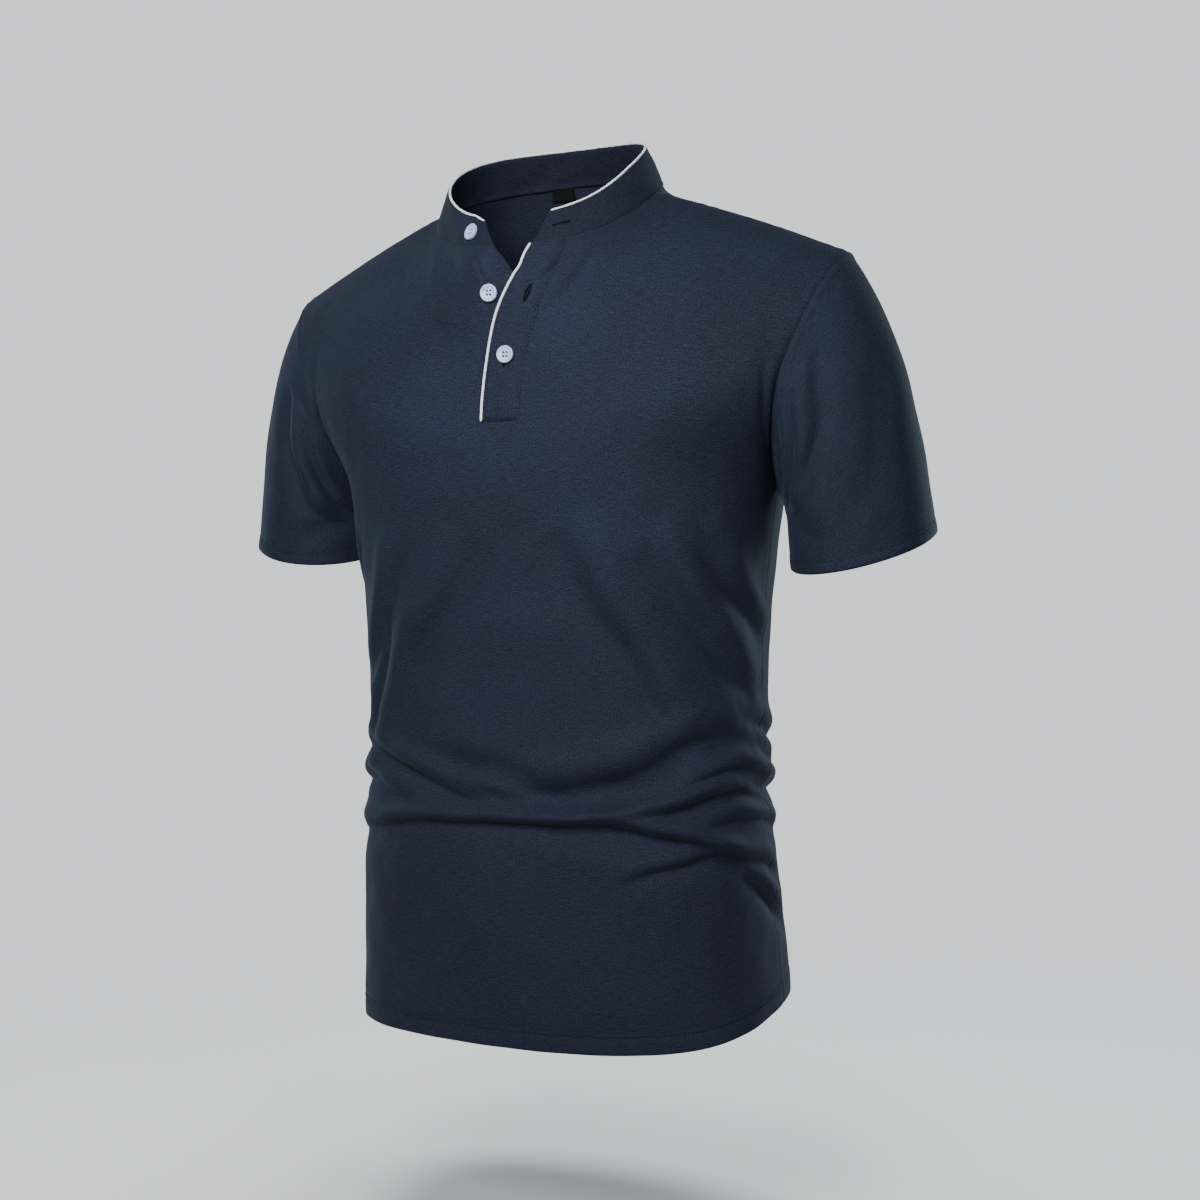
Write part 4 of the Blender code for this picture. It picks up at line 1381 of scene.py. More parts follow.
def knit_group() -> bpy.types.NodeTree:
    """Fine knit on flat cloth in metres: interlocking loops, uneven yarn and a soft cloudiness.

    Returns:
        The group.
    """
    group = new_group(
        "fine_knit",
        {
            "Cloth": ("NodeSocketVector", None),
            "Loop Width": ("NodeSocketFloat", 0.0011),
            "Yarn Streaks": ("NodeSocketFloat", 0.5),
            "Dark": ("NodeSocketColor", (0.0, 0.0, 0.0, 1)),
            "Light": ("NodeSocketColor", (1.0, 1.0, 1.0, 1)),
        },
        {"Color": "NodeSocketColor", "Height": "NodeSocketFloat", "Roughness": "NodeSocketFloat"},
    )
    graph = Graph(group)
    start, end = group.nodes["Group Input"], group.nodes["Group Output"]
    cloth = start.outputs["Cloth"]
    along, up = graph.parts(cloth)[:2]
    # Loops lean to and fro along each course, in columns that sway a little.
    per_loop = graph.maths("DIVIDE", FULL_TURN, start.outputs["Loop Width"])
    sway = graph.maths("MULTIPLY", graph.noise(graph.scaled(cloth, (260, 420, 1)), 1.0), 1.6)
    wale = graph.maths("ADD", graph.maths("MULTIPLY", along, per_loop), sway)
    course = graph.maths("MULTIPLY", graph.maths("MULTIPLY", up, per_loop), 1.25)
    lean = graph.maths("ABSOLUTE", graph.maths("SINE", wale))
    legs = graph.maths("SINE", graph.maths("ADD", course, graph.maths("MULTIPLY", lean, 2.2)))
    columns = graph.maths("ABSOLUTE", graph.maths("COSINE", graph.maths("MULTIPLY", wale, 0.5)))
    loops = graph.maths("MULTIPLY", graph.maths("ADD", graph.maths("MULTIPLY", legs, 0.5), 0.5), columns)
    # The yarn is uneven along the courses and in specks, and the dye is a little cloudy.
    streaks = graph.noise(graph.scaled(cloth, (120, 1700, 1)), 1.0)
    specks = graph.noise(graph.scaled(cloth, (1000, 1000, 1)), 1.0)
    clouds = graph.noise(graph.scaled(cloth, (9, 14, 1)), 1.0, 3.0)
    yarn = graph.maths("MULTIPLY", graph.maths("SUBTRACT", streaks, 0.5), start.outputs["Yarn Streaks"])
    shade = graph.maths("ADD", 0.46, graph.maths("MULTIPLY", yarn, 2.4))
    for source, middle, amount in ((loops, 0.4, 0.30), (specks, 0.5, 2.2), (clouds, 0.5, 0.5)):
        shade = graph.swung(shade, source, middle, amount)
    colour = graph.mix(graph.clamped(shade), start.outputs["Dark"], start.outputs["Light"])
    height = graph.maths("ADD", loops, graph.maths("MULTIPLY", streaks, 0.35))
    rough = graph.maths("ADD", 0.72, graph.maths("MULTIPLY", clouds, 0.16))
    graph.feed(end, Color=colour, Height=height, Roughness=rough)
    return group


def twist_group() -> bpy.types.NodeTree:
    """Twisted yarn along a cord or a thread: slanted strands over a piece's own UV map.

    Returns:
        The group.
    """
    group = new_group(
        "twisted_yarn",
        {
            "Cord": ("NodeSocketVector", None),
            "Strands": ("NodeSocketFloat", 3.0),
            "Pitch": ("NodeSocketFloat", 900.0),
            "Dark": ("NodeSocketColor", (0.0, 0.0, 0.0, 1)),
            "Light": ("NodeSocketColor", (1.0, 1.0, 1.0, 1)),
        },
        {"Color": "NodeSocketColor", "Height": "NodeSocketFloat"},
    )
    graph = Graph(group)
    start, end = group.nodes["Group Input"], group.nodes["Group Output"]
    cord = start.outputs["Cord"]
    turn, length = graph.parts(cord)[:2]
    round_it = graph.maths("MULTIPLY", graph.maths("MULTIPLY", turn, start.outputs["Strands"]), FULL_TURN)
    along = graph.maths("MULTIPLY", length, start.outputs["Pitch"])
    strand = graph.maths("SINE", graph.maths("ADD", round_it, along))
    fuzz = graph.noise(graph.scaled(cord, (6, 1400, 1)), 1.0)
    shade = graph.maths("ADD", graph.maths("MULTIPLY", strand, 0.32), graph.maths("MULTIPLY", fuzz, 0.9))
    colour = graph.mix(graph.clamped(shade), start.outputs["Dark"], start.outputs["Light"])
    graph.feed(end, Color=colour, Height=graph.maths("ADD", strand, fuzz))
    return group


def new_material(name: str) -> tuple[bpy.types.Material, Graph, bpy.types.Node]:
    """A material with node tools and its main shader.

    Args:
        name: The material's name.

    Returns:
        The material, a graph of its nodes and its Principled BSDF.
    """
    material = bpy.data.materials.new(name)
    material.use_nodes = True
    return material, Graph(material.node_tree), material.node_tree.nodes["Principled BSDF"]


@dataclass(frozen=True)
class KnitFinish:
    """Navy knit. Sheen is the pale bloom that the cloth takes at a grazing look."""

    name: str
    dark: Triple
    light: Triple
    loop_width: float = 0.0011
    streaks: float = 0.5
    bump: float = 0.35
    bump_depth: float = 0.00028
    sheen: float = 0.07
    sheen_roughness: float = 0.35
    sheen_tint: Triple = (0.45, 0.62, 0.85)
    gloss: float = 0.22

    def material(self, group: bpy.types.NodeTree) -> bpy.types.Material:
        """The finish as a material.

        Args:
            group: The knit's node group.

        Returns:
            The material.
        """
        material, graph, shader = new_material(self.name)
        cloth = graph.add("ShaderNodeUVMap", uv_map=CLOTH_MAP)
        knit = graph.add("ShaderNodeGroup", node_tree=group)
        graph.feed(knit, Cloth=cloth.outputs[0], Loop_Width=self.loop_width, Yarn_Streaks=self.streaks)
        graph.feed(knit, Dark=(*self.dark, 1), Light=(*self.light, 1))
        raised = graph.bump(knit.outputs["Height"], self.bump, self.bump_depth)
        graph.feed(shader, Base_Color=knit.outputs["Color"], Roughness=knit.outputs["Roughness"])
        graph.feed(shader, Normal=raised, Sheen_Weight=self.sheen, Sheen_Roughness=self.sheen_roughness)
        graph.feed(shader, Sheen_Tint=(*self.sheen_tint, 1), Specular_IOR_Level=self.gloss)
        return material


@dataclass(frozen=True)
class CordFinish:
    """A cord or thread of twisted yarn."""

    name: str
    dark: Triple
    light: Triple
    strands: float = 3.0
    pitch: float = 4200.0
    bump: float = 0.4
    bump_depth: float = 0.0002
    roughness: float = 0.62
    sheen: float = 0.0
    gloss: float = 0.15

    def material(self, group: bpy.types.NodeTree) -> bpy.types.Material:
        """The finish as a material, from the twisted yarn's node group.

        Args:
            group: The node group.

        Returns:
            The material.
        """
        material, graph, shader = new_material(self.name)
        cord = graph.add("ShaderNodeUVMap", uv_map=CLOTH_MAP)
        yarn = graph.add("ShaderNodeGroup", node_tree=group)
        graph.feed(yarn, Cord=cord.outputs[0], Strands=self.strands, Pitch=self.pitch)
        graph.feed(yarn, Dark=(*self.dark, 1), Light=(*self.light, 1))
        raised = graph.bump(yarn.outputs["Height"], self.bump, self.bump_depth)
        graph.feed(shader, Base_Color=yarn.outputs["Color"], Roughness=self.roughness, Normal=raised)
        graph.feed(shader, Sheen_Weight=self.sheen, Specular_IOR_Level=self.gloss)
        return material


@dataclass(frozen=True)
class ResinFinish:
    """Pale bluish resin of the buttons, with faint clouds and pearly gloss."""

    name: str = "button_resin"
    dark: Triple = (0.33, 0.40, 0.70)
    light: Triple = (0.56, 0.65, 0.94)
    roughness: float = 0.24
    bump: float = 0.08
    coat: float = 0.35
    coat_roughness: float = 0.12

    def material(self) -> bpy.types.Material:
        """The finish as a material.

        Returns:
            The material.
        """
        material, graph, shader = new_material(self.name)
        place = graph.add("ShaderNodeTexCoord").outputs["Object"]
        clouds = graph.noise(place, 420.0, 3.0)
        grain = graph.noise(place, 2400.0)
        shade = graph.maths("ADD", graph.maths("MULTIPLY", clouds, 1.3), graph.maths("MULTIPLY", grain, 0.3))
        share = graph.clamped(graph.maths("SUBTRACT", shade, 0.3))
        colour = graph.mix(share, (*self.dark, 1), (*self.light, 1))
        raised = graph.bump(grain, self.bump, 0.0001)
        graph.feed(shader, Base_Color=colour, Roughness=self.roughness, Normal=raised)
        graph.feed(shader, Coat_Weight=self.coat, Coat_Roughness=self.coat_roughness)
        return material


@dataclass(frozen=True)
class TapeFinish:
    """Black woven tape of the neck label."""

    name: str = "label_tape"
    dark: Triple = (0.0020, 0.0022, 0.0028)
    light: Triple = (0.0085, 0.0092, 0.0110)
    threads: float = 15000.0
    bump: float = 0.3
    roughness: float = 0.75
    gloss: float = 0.08

    def material(self) -> bpy.types.Material:
        """The finish as a material: a plain weave of fine threads.

        Returns:
            The material.
        """
        material, graph, shader = new_material(self.name)
        along, up = graph.parts(graph.add("ShaderNodeUVMap", uv_map=CLOTH_MAP).outputs[0])[:2]
        warp = graph.maths("SINE", graph.maths("MULTIPLY", along, self.threads))
        weft = graph.maths("SINE", graph.maths("MULTIPLY", up, self.threads))
        weave = graph.maths("ADD", graph.maths("MULTIPLY", graph.maths("MULTIPLY", warp, weft), 0.5), 0.5)
        colour = graph.mix(weave, (*self.dark, 1), (*self.light, 1))
        raised = graph.bump(weave, self.bump, 0.0001)
        graph.feed(shader, Base_Color=colour, Roughness=self.roughness, Normal=raised)
        graph.feed(shader, Specular_IOR_Level=self.gloss)
        return material


@dataclass(frozen=True)
class FloorFinish:
    """A pale floor that fades into the studio's air far from its middle."""

    name: str = "studio_floor"
    colour: Triple = (0.40, 0.40, 0.404)
    fade_start: float = 0.35
    fade_end: float = 1.35
    roughness: float = 0.9
    gloss: float = 0.1

    def material(self) -> bpy.types.Material:
        """The finish as a material, with its Alpha falling off round the object's origin.

        Returns:
            The material.
        """
        material, graph, shader = new_material(self.name)
        flat = graph.scaled(graph.add("ShaderNodeTexCoord").outputs["Object"], (1, 1, 0))
        far = graph.add("ShaderNodeVectorMath", operation="LENGTH")
        graph.put(far.inputs[0], flat)
        fade = graph.add("ShaderNodeMapRange", interpolation_type="SMOOTHSTEP")
        graph.feed(fade, From_Min=self.fade_start, From_Max=self.fade_end, To_Min=1.0, To_Max=0.0)
        graph.feed(fade, Value=far.outputs["Value"])
        graph.feed(shader, Base_Color=(*self.colour, 1), Roughness=self.roughness)
        graph.feed(shader, Specular_IOR_Level=self.gloss, Alpha=fade.outputs["Result"])
        return material


@dataclass
class Wardrobe:
    """Every finish of the shirt, made once."""

    def __post_init__(self) -> None:
        """Makes the node groups and the materials."""
        knit, yarn = knit_group(), twist_group()
        self.body = KnitFinish(
            "navy_knit", dark=(0.0020, 0.0031, 0.0088), light=(0.0210, 0.0295, 0.0600)
        ).material(knit)
        self.band = KnitFinish(
            "navy_band_knit",
            dark=(0.0018, 0.0027, 0.0076),
            light=(0.0165, 0.0232, 0.0500),
            loop_width=0.0009,
        ).material(knit)
        self.piping = CordFinish(
            "white_piping", dark=(0.84, 0.88, 0.97), light=(0.96, 0.98, 1.00), sheen=0.35, gloss=0.5
        ).material(yarn)
        self.thread = CordFinish(
            "navy_thread", dark=(0.0030, 0.0045, 0.0105), light=(0.0150, 0.0215, 0.0440)
        ).material(yarn)
        # Near-black painted shade for the buttonhole slits: it stands for the shadow inside each open slit.
        self.gap = CordFinish(
            "buttonhole_painted_shade", dark=(0.0006, 0.0008, 0.0016), light=(0.0022, 0.0028, 0.0050)
        ).material(yarn)
        self.resin = ResinFinish().material()
        self.tape = TapeFinish().material()


def declare(
    piece: Piece,
    material: bpy.types.Material,
    slot: str,
    nodes: tuple[str, ...] = (),
    cut: Span | None = None,
    area: float | None = None,
    held: Lay = Lay.DRAPED,
    carrier: str | None = None,
) -> Piece:
    """Finishes a piece: gives it its material, hangs it from the root, hides the parts that it replaces and
    logs its faces.

    Args:
        piece: The piece.
        material: Its material.
        slot: A material slot; not used.
        nodes: The nodes that it replaces.
        cut: The flat width and length of a sheet; not used.
        area: A sheet's flat area, where the cut isn't a rectangle; not used.
        held: How a sheet is held; not used.
        carrier: What a sheet lies on; not used.

    Returns:
        The piece.
    """
    piece.data.materials.clear()
    piece.data.materials.append(material)
    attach(piece, ROOT)
    if nodes:
        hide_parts(*nodes)
    log.info("%s: %d faces", piece.name, len(piece.data.polygons))
    return piece


# ---------------------------------------------------------------- body and sleeves


@dataclass
class BodyPanels:
    """The front and the back."""

    body: BodyForm
    placket: PlacketForm
    cloth: float = 0.0012
    column_step: float = 0.0160
    hem: TurnedHem = TurnedHem()
    seam: Seam = Seam(depth=0.0006)
    side_share: float = 0.35
    side_fade: float = 0.03
    easing_rounds: int = 60
    eased_out: Span = (0.24, 0.36)
    eased_in: Span = (0.70, 0.86)
    eased_foot: Span = (1.30, 1.55)
    eased_head: Span = (1.975, 2.0)
    seam_columns: tuple[float, ...] = (0.0035, 0.0070, 0.0110, 0.0160, 0.0230, 0.0320)

    def rows_below(self) -> Array:
        """Places up the body below the underarm: fine at the turned hem and where it folds.

        Returns:
            The rising places.
        """
        hem = [0.0, 0.004, 0.010, 0.020, 0.0275, 0.0295, 0.0315, 0.0335, 0.0355, 0.0375, 0.0395, 0.046]
        plain = spread_between([0.046, 0.19], 0.0120)[1:]
        folded = spread_between([0.19, 0.64], 0.0031)[1:]
        chest = spread_between([0.64, 1.0], 0.0120)[1:]
        return np.concatenate([hem, plain, folded, chest])

    def rows_above(self) -> Array:
        """Places up the yoke, with rows at the feet of the placket and of its slot."""
        stops = [1.0, self.placket.foot, self.placket.slot_foot, 1.96, 1.972, 1.982, 1.990, 1.9955, 2.0]
        return spread_between(stops, 0.0135)

    def places(self, half: Half) -> Array:
        """Places across a panel, close together at its edges and, on the front, at the slot.

        Args:
            half: The front or the back.

        Returns:
            The rising places.
        """
        middle = [0.0] if half is Half.BACK else [self.placket.slot_right, self.placket.slot_left]
        edges = [1 - step for step in self.seam_columns]
        stops = [-1.0, *[-edge for edge in edges], -self.body.neck_share]
        stops += [*middle, self.body.neck_share, *edges[::-1], 1.0]
        return spread_between(sorted(stops), self.column_step)

    def panel(self, half: Half) -> Wall:
        """The wall of one panel, before its seams.

        Args:
            half: Which panel.

        Returns:
            The wall.
        """
        rows = np.concatenate([self.rows_below(), self.rows_above()[1:]])
        places = self.places(half)
        across, up = np.meshgrid(places, rows)
        gone = None
        if half is Half.FRONT:
            right = self.placket.opened(across, up, Side.RIGHT)
            left = self.placket.opened(across, up, Side.LEFT)
            across = np.where(across <= self.placket.slot_right, right, left)
            middle = (places[1:] + places[:-1]) / 2
            in_slot = (middle > self.placket.slot_right) & (middle < self.placket.slot_left)
            above = (rows[1:] + rows[:-1]) / 2 > self.placket.slot_foot
            gone = above[:, None] & in_slot[None, :]
        points = self.eased(self.body.at(across, up, half), places, rows)
        outward = grid_outward(points) * (-half.value)
        girth, height = walked(points, 1), walked(points, 0)
        flat = np.stack([girth - girth[:, [girth.shape[1] // 2]], height], axis=-1)
        name, thickness = f"{half.name.lower()}_panel", np.full(across.shape, self.cloth)
        return Wall(name, points, outward, thickness, flat, is_flipped=half is Half.BACK, gone=gone)

    def eased(self, points: Array, places: Array, rows: Array) -> Array:
        """The panel's points with the fold that runs down from each neck point smoothed out.

        Args:
            points: The panel's grid.
            places: Its columns, as places across.
            rows: Its rows, as places up.

        Returns:
            The grid, unchanged at its edges and round the placket.
        """
        near = ease(np.abs(places), *self.eased_out) * (1 - ease(np.abs(places), *self.eased_in))
        high = ease(rows, *self.eased_foot) * (1 - ease(rows, *self.eased_head))
        share = 0.5 * (high[:, None] * near[None, :])[:, 1:-1, None]
        points = points.copy()
        for _ in range(self.easing_rounds):
            level = (points[:, :-2] + points[:, 2:]) / 2
            points[:, 1:-1] = points[:, 1:-1] * (1 - share) + level * share
        return points

    def sew(self, wall: Wall, seed: int) -> None:
        """Sinks the panel's edges into their seams and turns up its hem.

        Args:
            wall: The panel, whose points are moved.
            seed: Picks the puckers.
        """
        from_left = walked(wall.points, 1)
        from_right = from_left[:, -1:] - from_left
        from_hem = walked(wall.points, 0)
        from_top = from_hem[-1:] - from_hem
        shoulder = np.abs(np.linspace(-1, 1, wall.points.shape[1])) > self.body.neck_share
        moved = self.hem.height(from_hem, from_left, seed)
        underarm = self.body.smooth(1.0, 1.0, Half.FRONT)[2]
        rise = ease(wall.points[..., 2], underarm, underarm + self.side_fade)
        share = self.side_share + (1 - self.side_share) * rise
        moved = moved + self.seam.height(from_left, from_hem, seed + 1) * share
        moved = moved + self.seam.height(from_right, from_hem, seed + 2) * share
        moved = moved + self.seam.height(from_top, from_left, seed + 3) * shoulder[None, :]
        wall.points = wall.points + wall.outward * moved[..., None]
        wall.thickness = wall.thickness + self.hem.thickening(from_hem)


@dataclass
class Sleeves:
    """The two sleeves."""

    body: BodyForm
    panels: BodyPanels
    cloth: float = 0.0012
    step: float = 0.0125
    hem: TurnedHem = TurnedHem(depth=0.0098, row_gap=0.0026)
    seam: Seam = Seam(depth=0.0005, width=0.0012, bulk=0.00065, bulk_at=0.0034)

    def form(self, side: Side) -> SleeveForm:
        """The form of one sleeve, whose columns meet the panels' rows."""
        return SleeveForm(self.body, side, self.panels.rows_above())

    def shares(self) -> Array:
        """Places down the sleeve, close together at the seam and the hem.

        Returns:
            The rising shares.
        """
        near_seam = [0.0, 0.004, 0.008, 0.013, 0.019, 0.028]
        near_hem = [0.895, 0.915, 0.930, 0.940, 0.946, 0.952, 0.958, 0.964, 0.970, 0.977, 0.988, 1.0]
        return np.concatenate([near_seam[:-1], spread_between([0.028, 0.895], self.step), near_hem[1:]])

    def panel(self, side: Side) -> Wall:
        """The wall of one sleeve, before its seam.

        Args:
            side: The wearer's side.

        Returns:
            The wall.
        """
        points = self.form(side).grid(self.shares())
        outward = grid_outward(points, is_ring=True) * (-side.value)
        closed = np.concatenate([points, points[:, :1]], axis=1)
        flat = np.stack([walked(closed, 1)[:, :-1], -walked(points, 0)], axis=-1)
        name = f"{side.name.lower()}_sleeve"
        thickness = np.full(points.shape[:2], self.cloth)
        return Wall(name, points, outward, thickness, flat, is_ring=True, is_flipped=side is Side.LEFT)

    def sew(self, wall: Wall, seed: int) -> None:
        """Sinks the sleeve's head into the armhole seam and turns up its hem.

        Args:
            wall: The sleeve, whose points are moved.
            seed: Picks the puckers.
        """
        down = walked(wall.points, 0)
        closed = np.concatenate([wall.points, wall.points[:, :1]], axis=1)
        along = walked(closed, 1)[:, :-1]
        from_hem = down[-1:] - down
        moved = self.seam.height(down, along, seed) + self.hem.height(from_hem, along, seed + 1)
        wall.points = wall.points + wall.outward * moved[..., None]
        wall.thickness = wall.thickness + self.hem.thickening(from_hem)


# ---------------------------------------------------------------- thread


# Share along the stitch, lift over its rise and size over its radius.
STITCH_PROFILE = (
    (0.0, -1.2, 0.55),
    (0.18, 0.4, 0.95),
    (0.5, 0.9, 1.0),
    (0.82, 0.4, 0.95),
    (1.0, -1.2, 0.55),
)


@dataclass
class ThreadWork:
    """Stitches, gathered into one mesh."""

    name: str
    radius: float = 0.00019
    length: float = 0.0024
    pitch: float = 0.0031
    rise: float = 0.00020
    sides: int = 5
    points: list[Array] = field(default_factory=list)
    faces: list[tuple[int, ...]] = field(default_factory=list)
    flat: list[Array] = field(default_factory=list)
    count: int = 0

    def stitch(self, start: Array, end: Array, outward: Array) -> None:
        """One stitch: a short arched tube whose ends dip into the cloth.

        Args:
            start: Where it leaves the cloth.
            end: Where it goes back in.
            outward: The cloth's outward direction.
        """
        along = end - start
        side = unit(np.cross(along, outward))
        up = unit(np.cross(side, along))
        ring = []
        for share, lift, size in STITCH_PROFILE:
            centre = start + along * share + up * (lift * self.rise)
            for step in range(self.sides):
                turn = FULL_TURN * step / self.sides
                ring.append(centre + (side * math.cos(turn) + up * math.sin(turn)) * self.radius * size)
                self.flat.append(np.array([step / self.sides, share * np.linalg.norm(along)]))
        self.points.append(np.array(ring))
        self.faces += tube_faces(self.count, self.sides, len(STITCH_PROFILE))
        self.count += len(ring)

    def row(self, path: Array, outward: Array, is_closed: bool = False) -> None:
        """A row of stitches along a path.

        Args:
            path: Points on the cloth, close together.
            outward: The outward direction at each.
            is_closed: Whether the path comes back to its start.
        """
        if is_closed:
            path = np.concatenate([path, path[:1]])
            outward = np.concatenate([outward, outward[:1]])
        gone = np.concatenate([[0], np.cumsum(np.linalg.norm(np.diff(path, axis=0), axis=1))])
        count = max(1, int(gone[-1] / self.pitch))
        pitch = gone[-1] / count
        for step in range(count):
            first = step * pitch + (pitch - self.length) / 2
            ends = [first, first + self.length]
            start, end = (np.array([np.interp(at, gone, path[:, k]) for k in range(3)]) for at in ends)
            middle = np.array([np.interp(sum(ends) / 2, gone, outward[:, k]) for k in range(3)])
            self.stitch(start, end, unit(middle))

    def build(self, material: bpy.types.Material) -> Piece:
        """The finished mesh of stitches."""
        thing = new_mesh(self.name, np.concatenate(self.points), self.faces, np.array(self.flat))
        return declare(thing, material, "navy_knit")


def grid_line(wall: Wall, distances: Array, wanted: float) -> tuple[Array, Array]:
    """The line across a wall's columns at a set distance, with its outward directions.

    Args:
        wall: The wall.
        distances: A distance for each of its points, rising or falling along each column.
        wanted: The distance of the line.

    Returns:
        Points and outward directions, one for each column.
    """
    points, outward = [], []
    for column in range(wall.points.shape[1]):
        order = np.argsort(distances[:, column])
        at = distances[order, column]
        points.append([np.interp(wanted, at, wall.points[order, column, k]) for k in range(3)])
        outward.append([np.interp(wanted, at, wall.outward[order, column, k]) for k in range(3)])
    return np.array(points), unit(np.array(outward))


# ---------------------------------------------------------------- collar, placket and trims


@dataclass
class CollarBand:
    """The standing band of double cloth."""

    band: BandForm
    wardrobe: Wardrobe
    turn_step: float = 0.030
    tuck: float = 0.055
    tuck_depth: float = 0.0010
    foot: float = 0.0015
    height_steps: int = 17
    top_thinning: float = 0.25
    seam: Seam = Seam(depth=0.0004, bulk=0.0002, pucker=0.00010)
    waves: Ripple = Ripple(0.00035, 0.045, 12)

    def build(self) -> Piece:
        """The band, with its foot tucked into the neckline.

        Returns:
            The piece.
        """
        right, left = self.band.ends()
        count = math.ceil((right - left) / self.turn_step)
        turns = np.linspace(right, left, count + 1)
        shares = np.concatenate([[-self.tuck], np.linspace(0.0, 1.0, self.height_steps)])
        turn, share = np.meshgrid(turns, shares)
        points = self.band.at(turn, share)
        outward = self.band.outward(turn, np.clip(share, 0.001, 1))
        length, from_foot = walked(points, 1), walked(points, 0) - self.foot
        moved = self.seam.height(np.abs(from_foot), length, 31)
        moved = moved - self.tuck_depth * (share < 0)
        moved = moved + self.waves.height(length, from_foot)
        points = points + outward * moved[..., None]
        thickness = self.band.cloth * (1 - self.top_thinning * (share == 1))
        flat = np.stack([length, from_foot], axis=-1)
        piece = Wall("band_cloth", points, outward, thickness, flat, is_flipped=True).build()
        cut, area = (0.495, 0.028), 0.0130
        return declare(piece, self.wardrobe.band, "navy_knit", ("collar_band",), cut, area)


@dataclass
class Placket:
    """The two strips that close the slot, with their stitching."""

    form: PlacketForm
    wardrobe: Wardrobe
    rows: Array
    cloth: float = 0.0015
    clear: float = 0.0003
    thinnest: float = 0.0004
    pressed_width: float = 0.0085
    foot_width: float = 0.0035
    pressed_share: float = 0.30
    box_height: float = 0.0082
    edge_row: float = 0.0020
    edge_step: float = 0.003
    inner_step: float = 0.005
    under_lift: float = 0.0003
    edge_roll: float = 0.0004
    edge_roll_width: float = 0.0010
    groove: float = 0.00030
    groove_width: float = 0.0006
    waves: Ripple = Ripple(0.00012, 0.011, 21)

    def strip(self, name: str, side: Side, span: Span, foot: float, lift: float) -> Wall:
        """The wall of one strip.

        Args:
            name: The piece's name.
            side: The wearer's side that it belongs to.
            span: Its edges, as places across the front.
            foot: Its lower end, as a place up the front.
            lift: How far its outer face stands off the front's.

        Returns:
            The wall.
        """
        rows = self.rows[self.rows > foot - 1e-6]
        low, high, step = *span, self.edge_step
        inner = spread_between([low + 2 * step, high - 2 * step], self.inner_step)
        places = np.concatenate([[low, low + step], inner, [high - step, high]])
        across, up = np.meshgrid(places, rows)
        points = self.form.at(across, up, side, 0.0)
        outward = self.form.outward(across, up, side)
        girth, height = walked(points, 1), walked(points, 0)
        thickness = np.full(across.shape, self.cloth)
        if side is Side.LEFT:
            far, foot_edge = girth[:, -1:] - girth, ease(height, 0, self.foot_width)
            pressed = np.minimum(ease(far, 0, self.pressed_width), foot_edge)
            lift = lift * (self.pressed_share + (1 - self.pressed_share) * pressed)
            thickness = np.clip(lift - self.clear, self.thinnest, self.cloth)
        points = points + outward * (lift + 0 * girth)[..., None]
        edge = np.minimum(girth, girth[:, -1:] - girth)
        moved = self.waves.height(height, girth) - self.edge_roll * bell(edge, self.edge_roll_width)
        moved = moved - self.groove * bell(edge - self.edge_row, self.groove_width)
        points = points + outward * moved[..., None]
        return Wall(name, points, outward, thickness, np.stack([girth, height], axis=-1))

    def over(self) -> Wall:
        """The upper strip, on the wearer's left."""
        span = (self.form.over_right, self.form.over_left)
        return self.strip("over_strip", Side.LEFT, span, self.form.foot, self.form.lift)

    def under(self) -> Wall:
        """The lower strip, on the wearer's right."""
        span = (self.form.slot_right, self.form.slot_left)
        return self.strip("under_strip", Side.RIGHT, span, self.form.slot_foot, self.under_lift)

    def build(self) -> list[Piece]:
        """Both strips and their stitches.

        Returns:
            The pieces.
        """
        over, under, knit = self.over(), self.under(), self.wardrobe.body
        laid = {"held": Lay.LAID, "carrier": "front"}
        pieces = [
            declare(over.build(), knit, "navy_knit", ("placket_over",), (0.030, 0.142), **laid),
            declare(under.build(), knit, "navy_knit", ("placket_under",), (0.022, 0.129), **laid),
        ]
        thread = ThreadWork("placket_stitches", radius=0.00015, length=0.0019, pitch=0.0025)
        for wall in (over, under):
            girth = walked(wall.points, 1)
            turned = replace(wall, points=wall.points.swapaxes(0, 1), outward=wall.outward.swapaxes(0, 1))
            for distances in (girth, girth[:, -1:] - girth):
                thread.row(*grid_line(turned, distances.T, self.edge_row))
        height = walked(over.points, 0)
        for level in (self.edge_row, self.box_height):
            path, outward = grid_line(over, height, level)
            thread.row(path[2:-2], outward[2:-2])
        pieces.append(thread.build(self.wardrobe.thread))
        return pieces


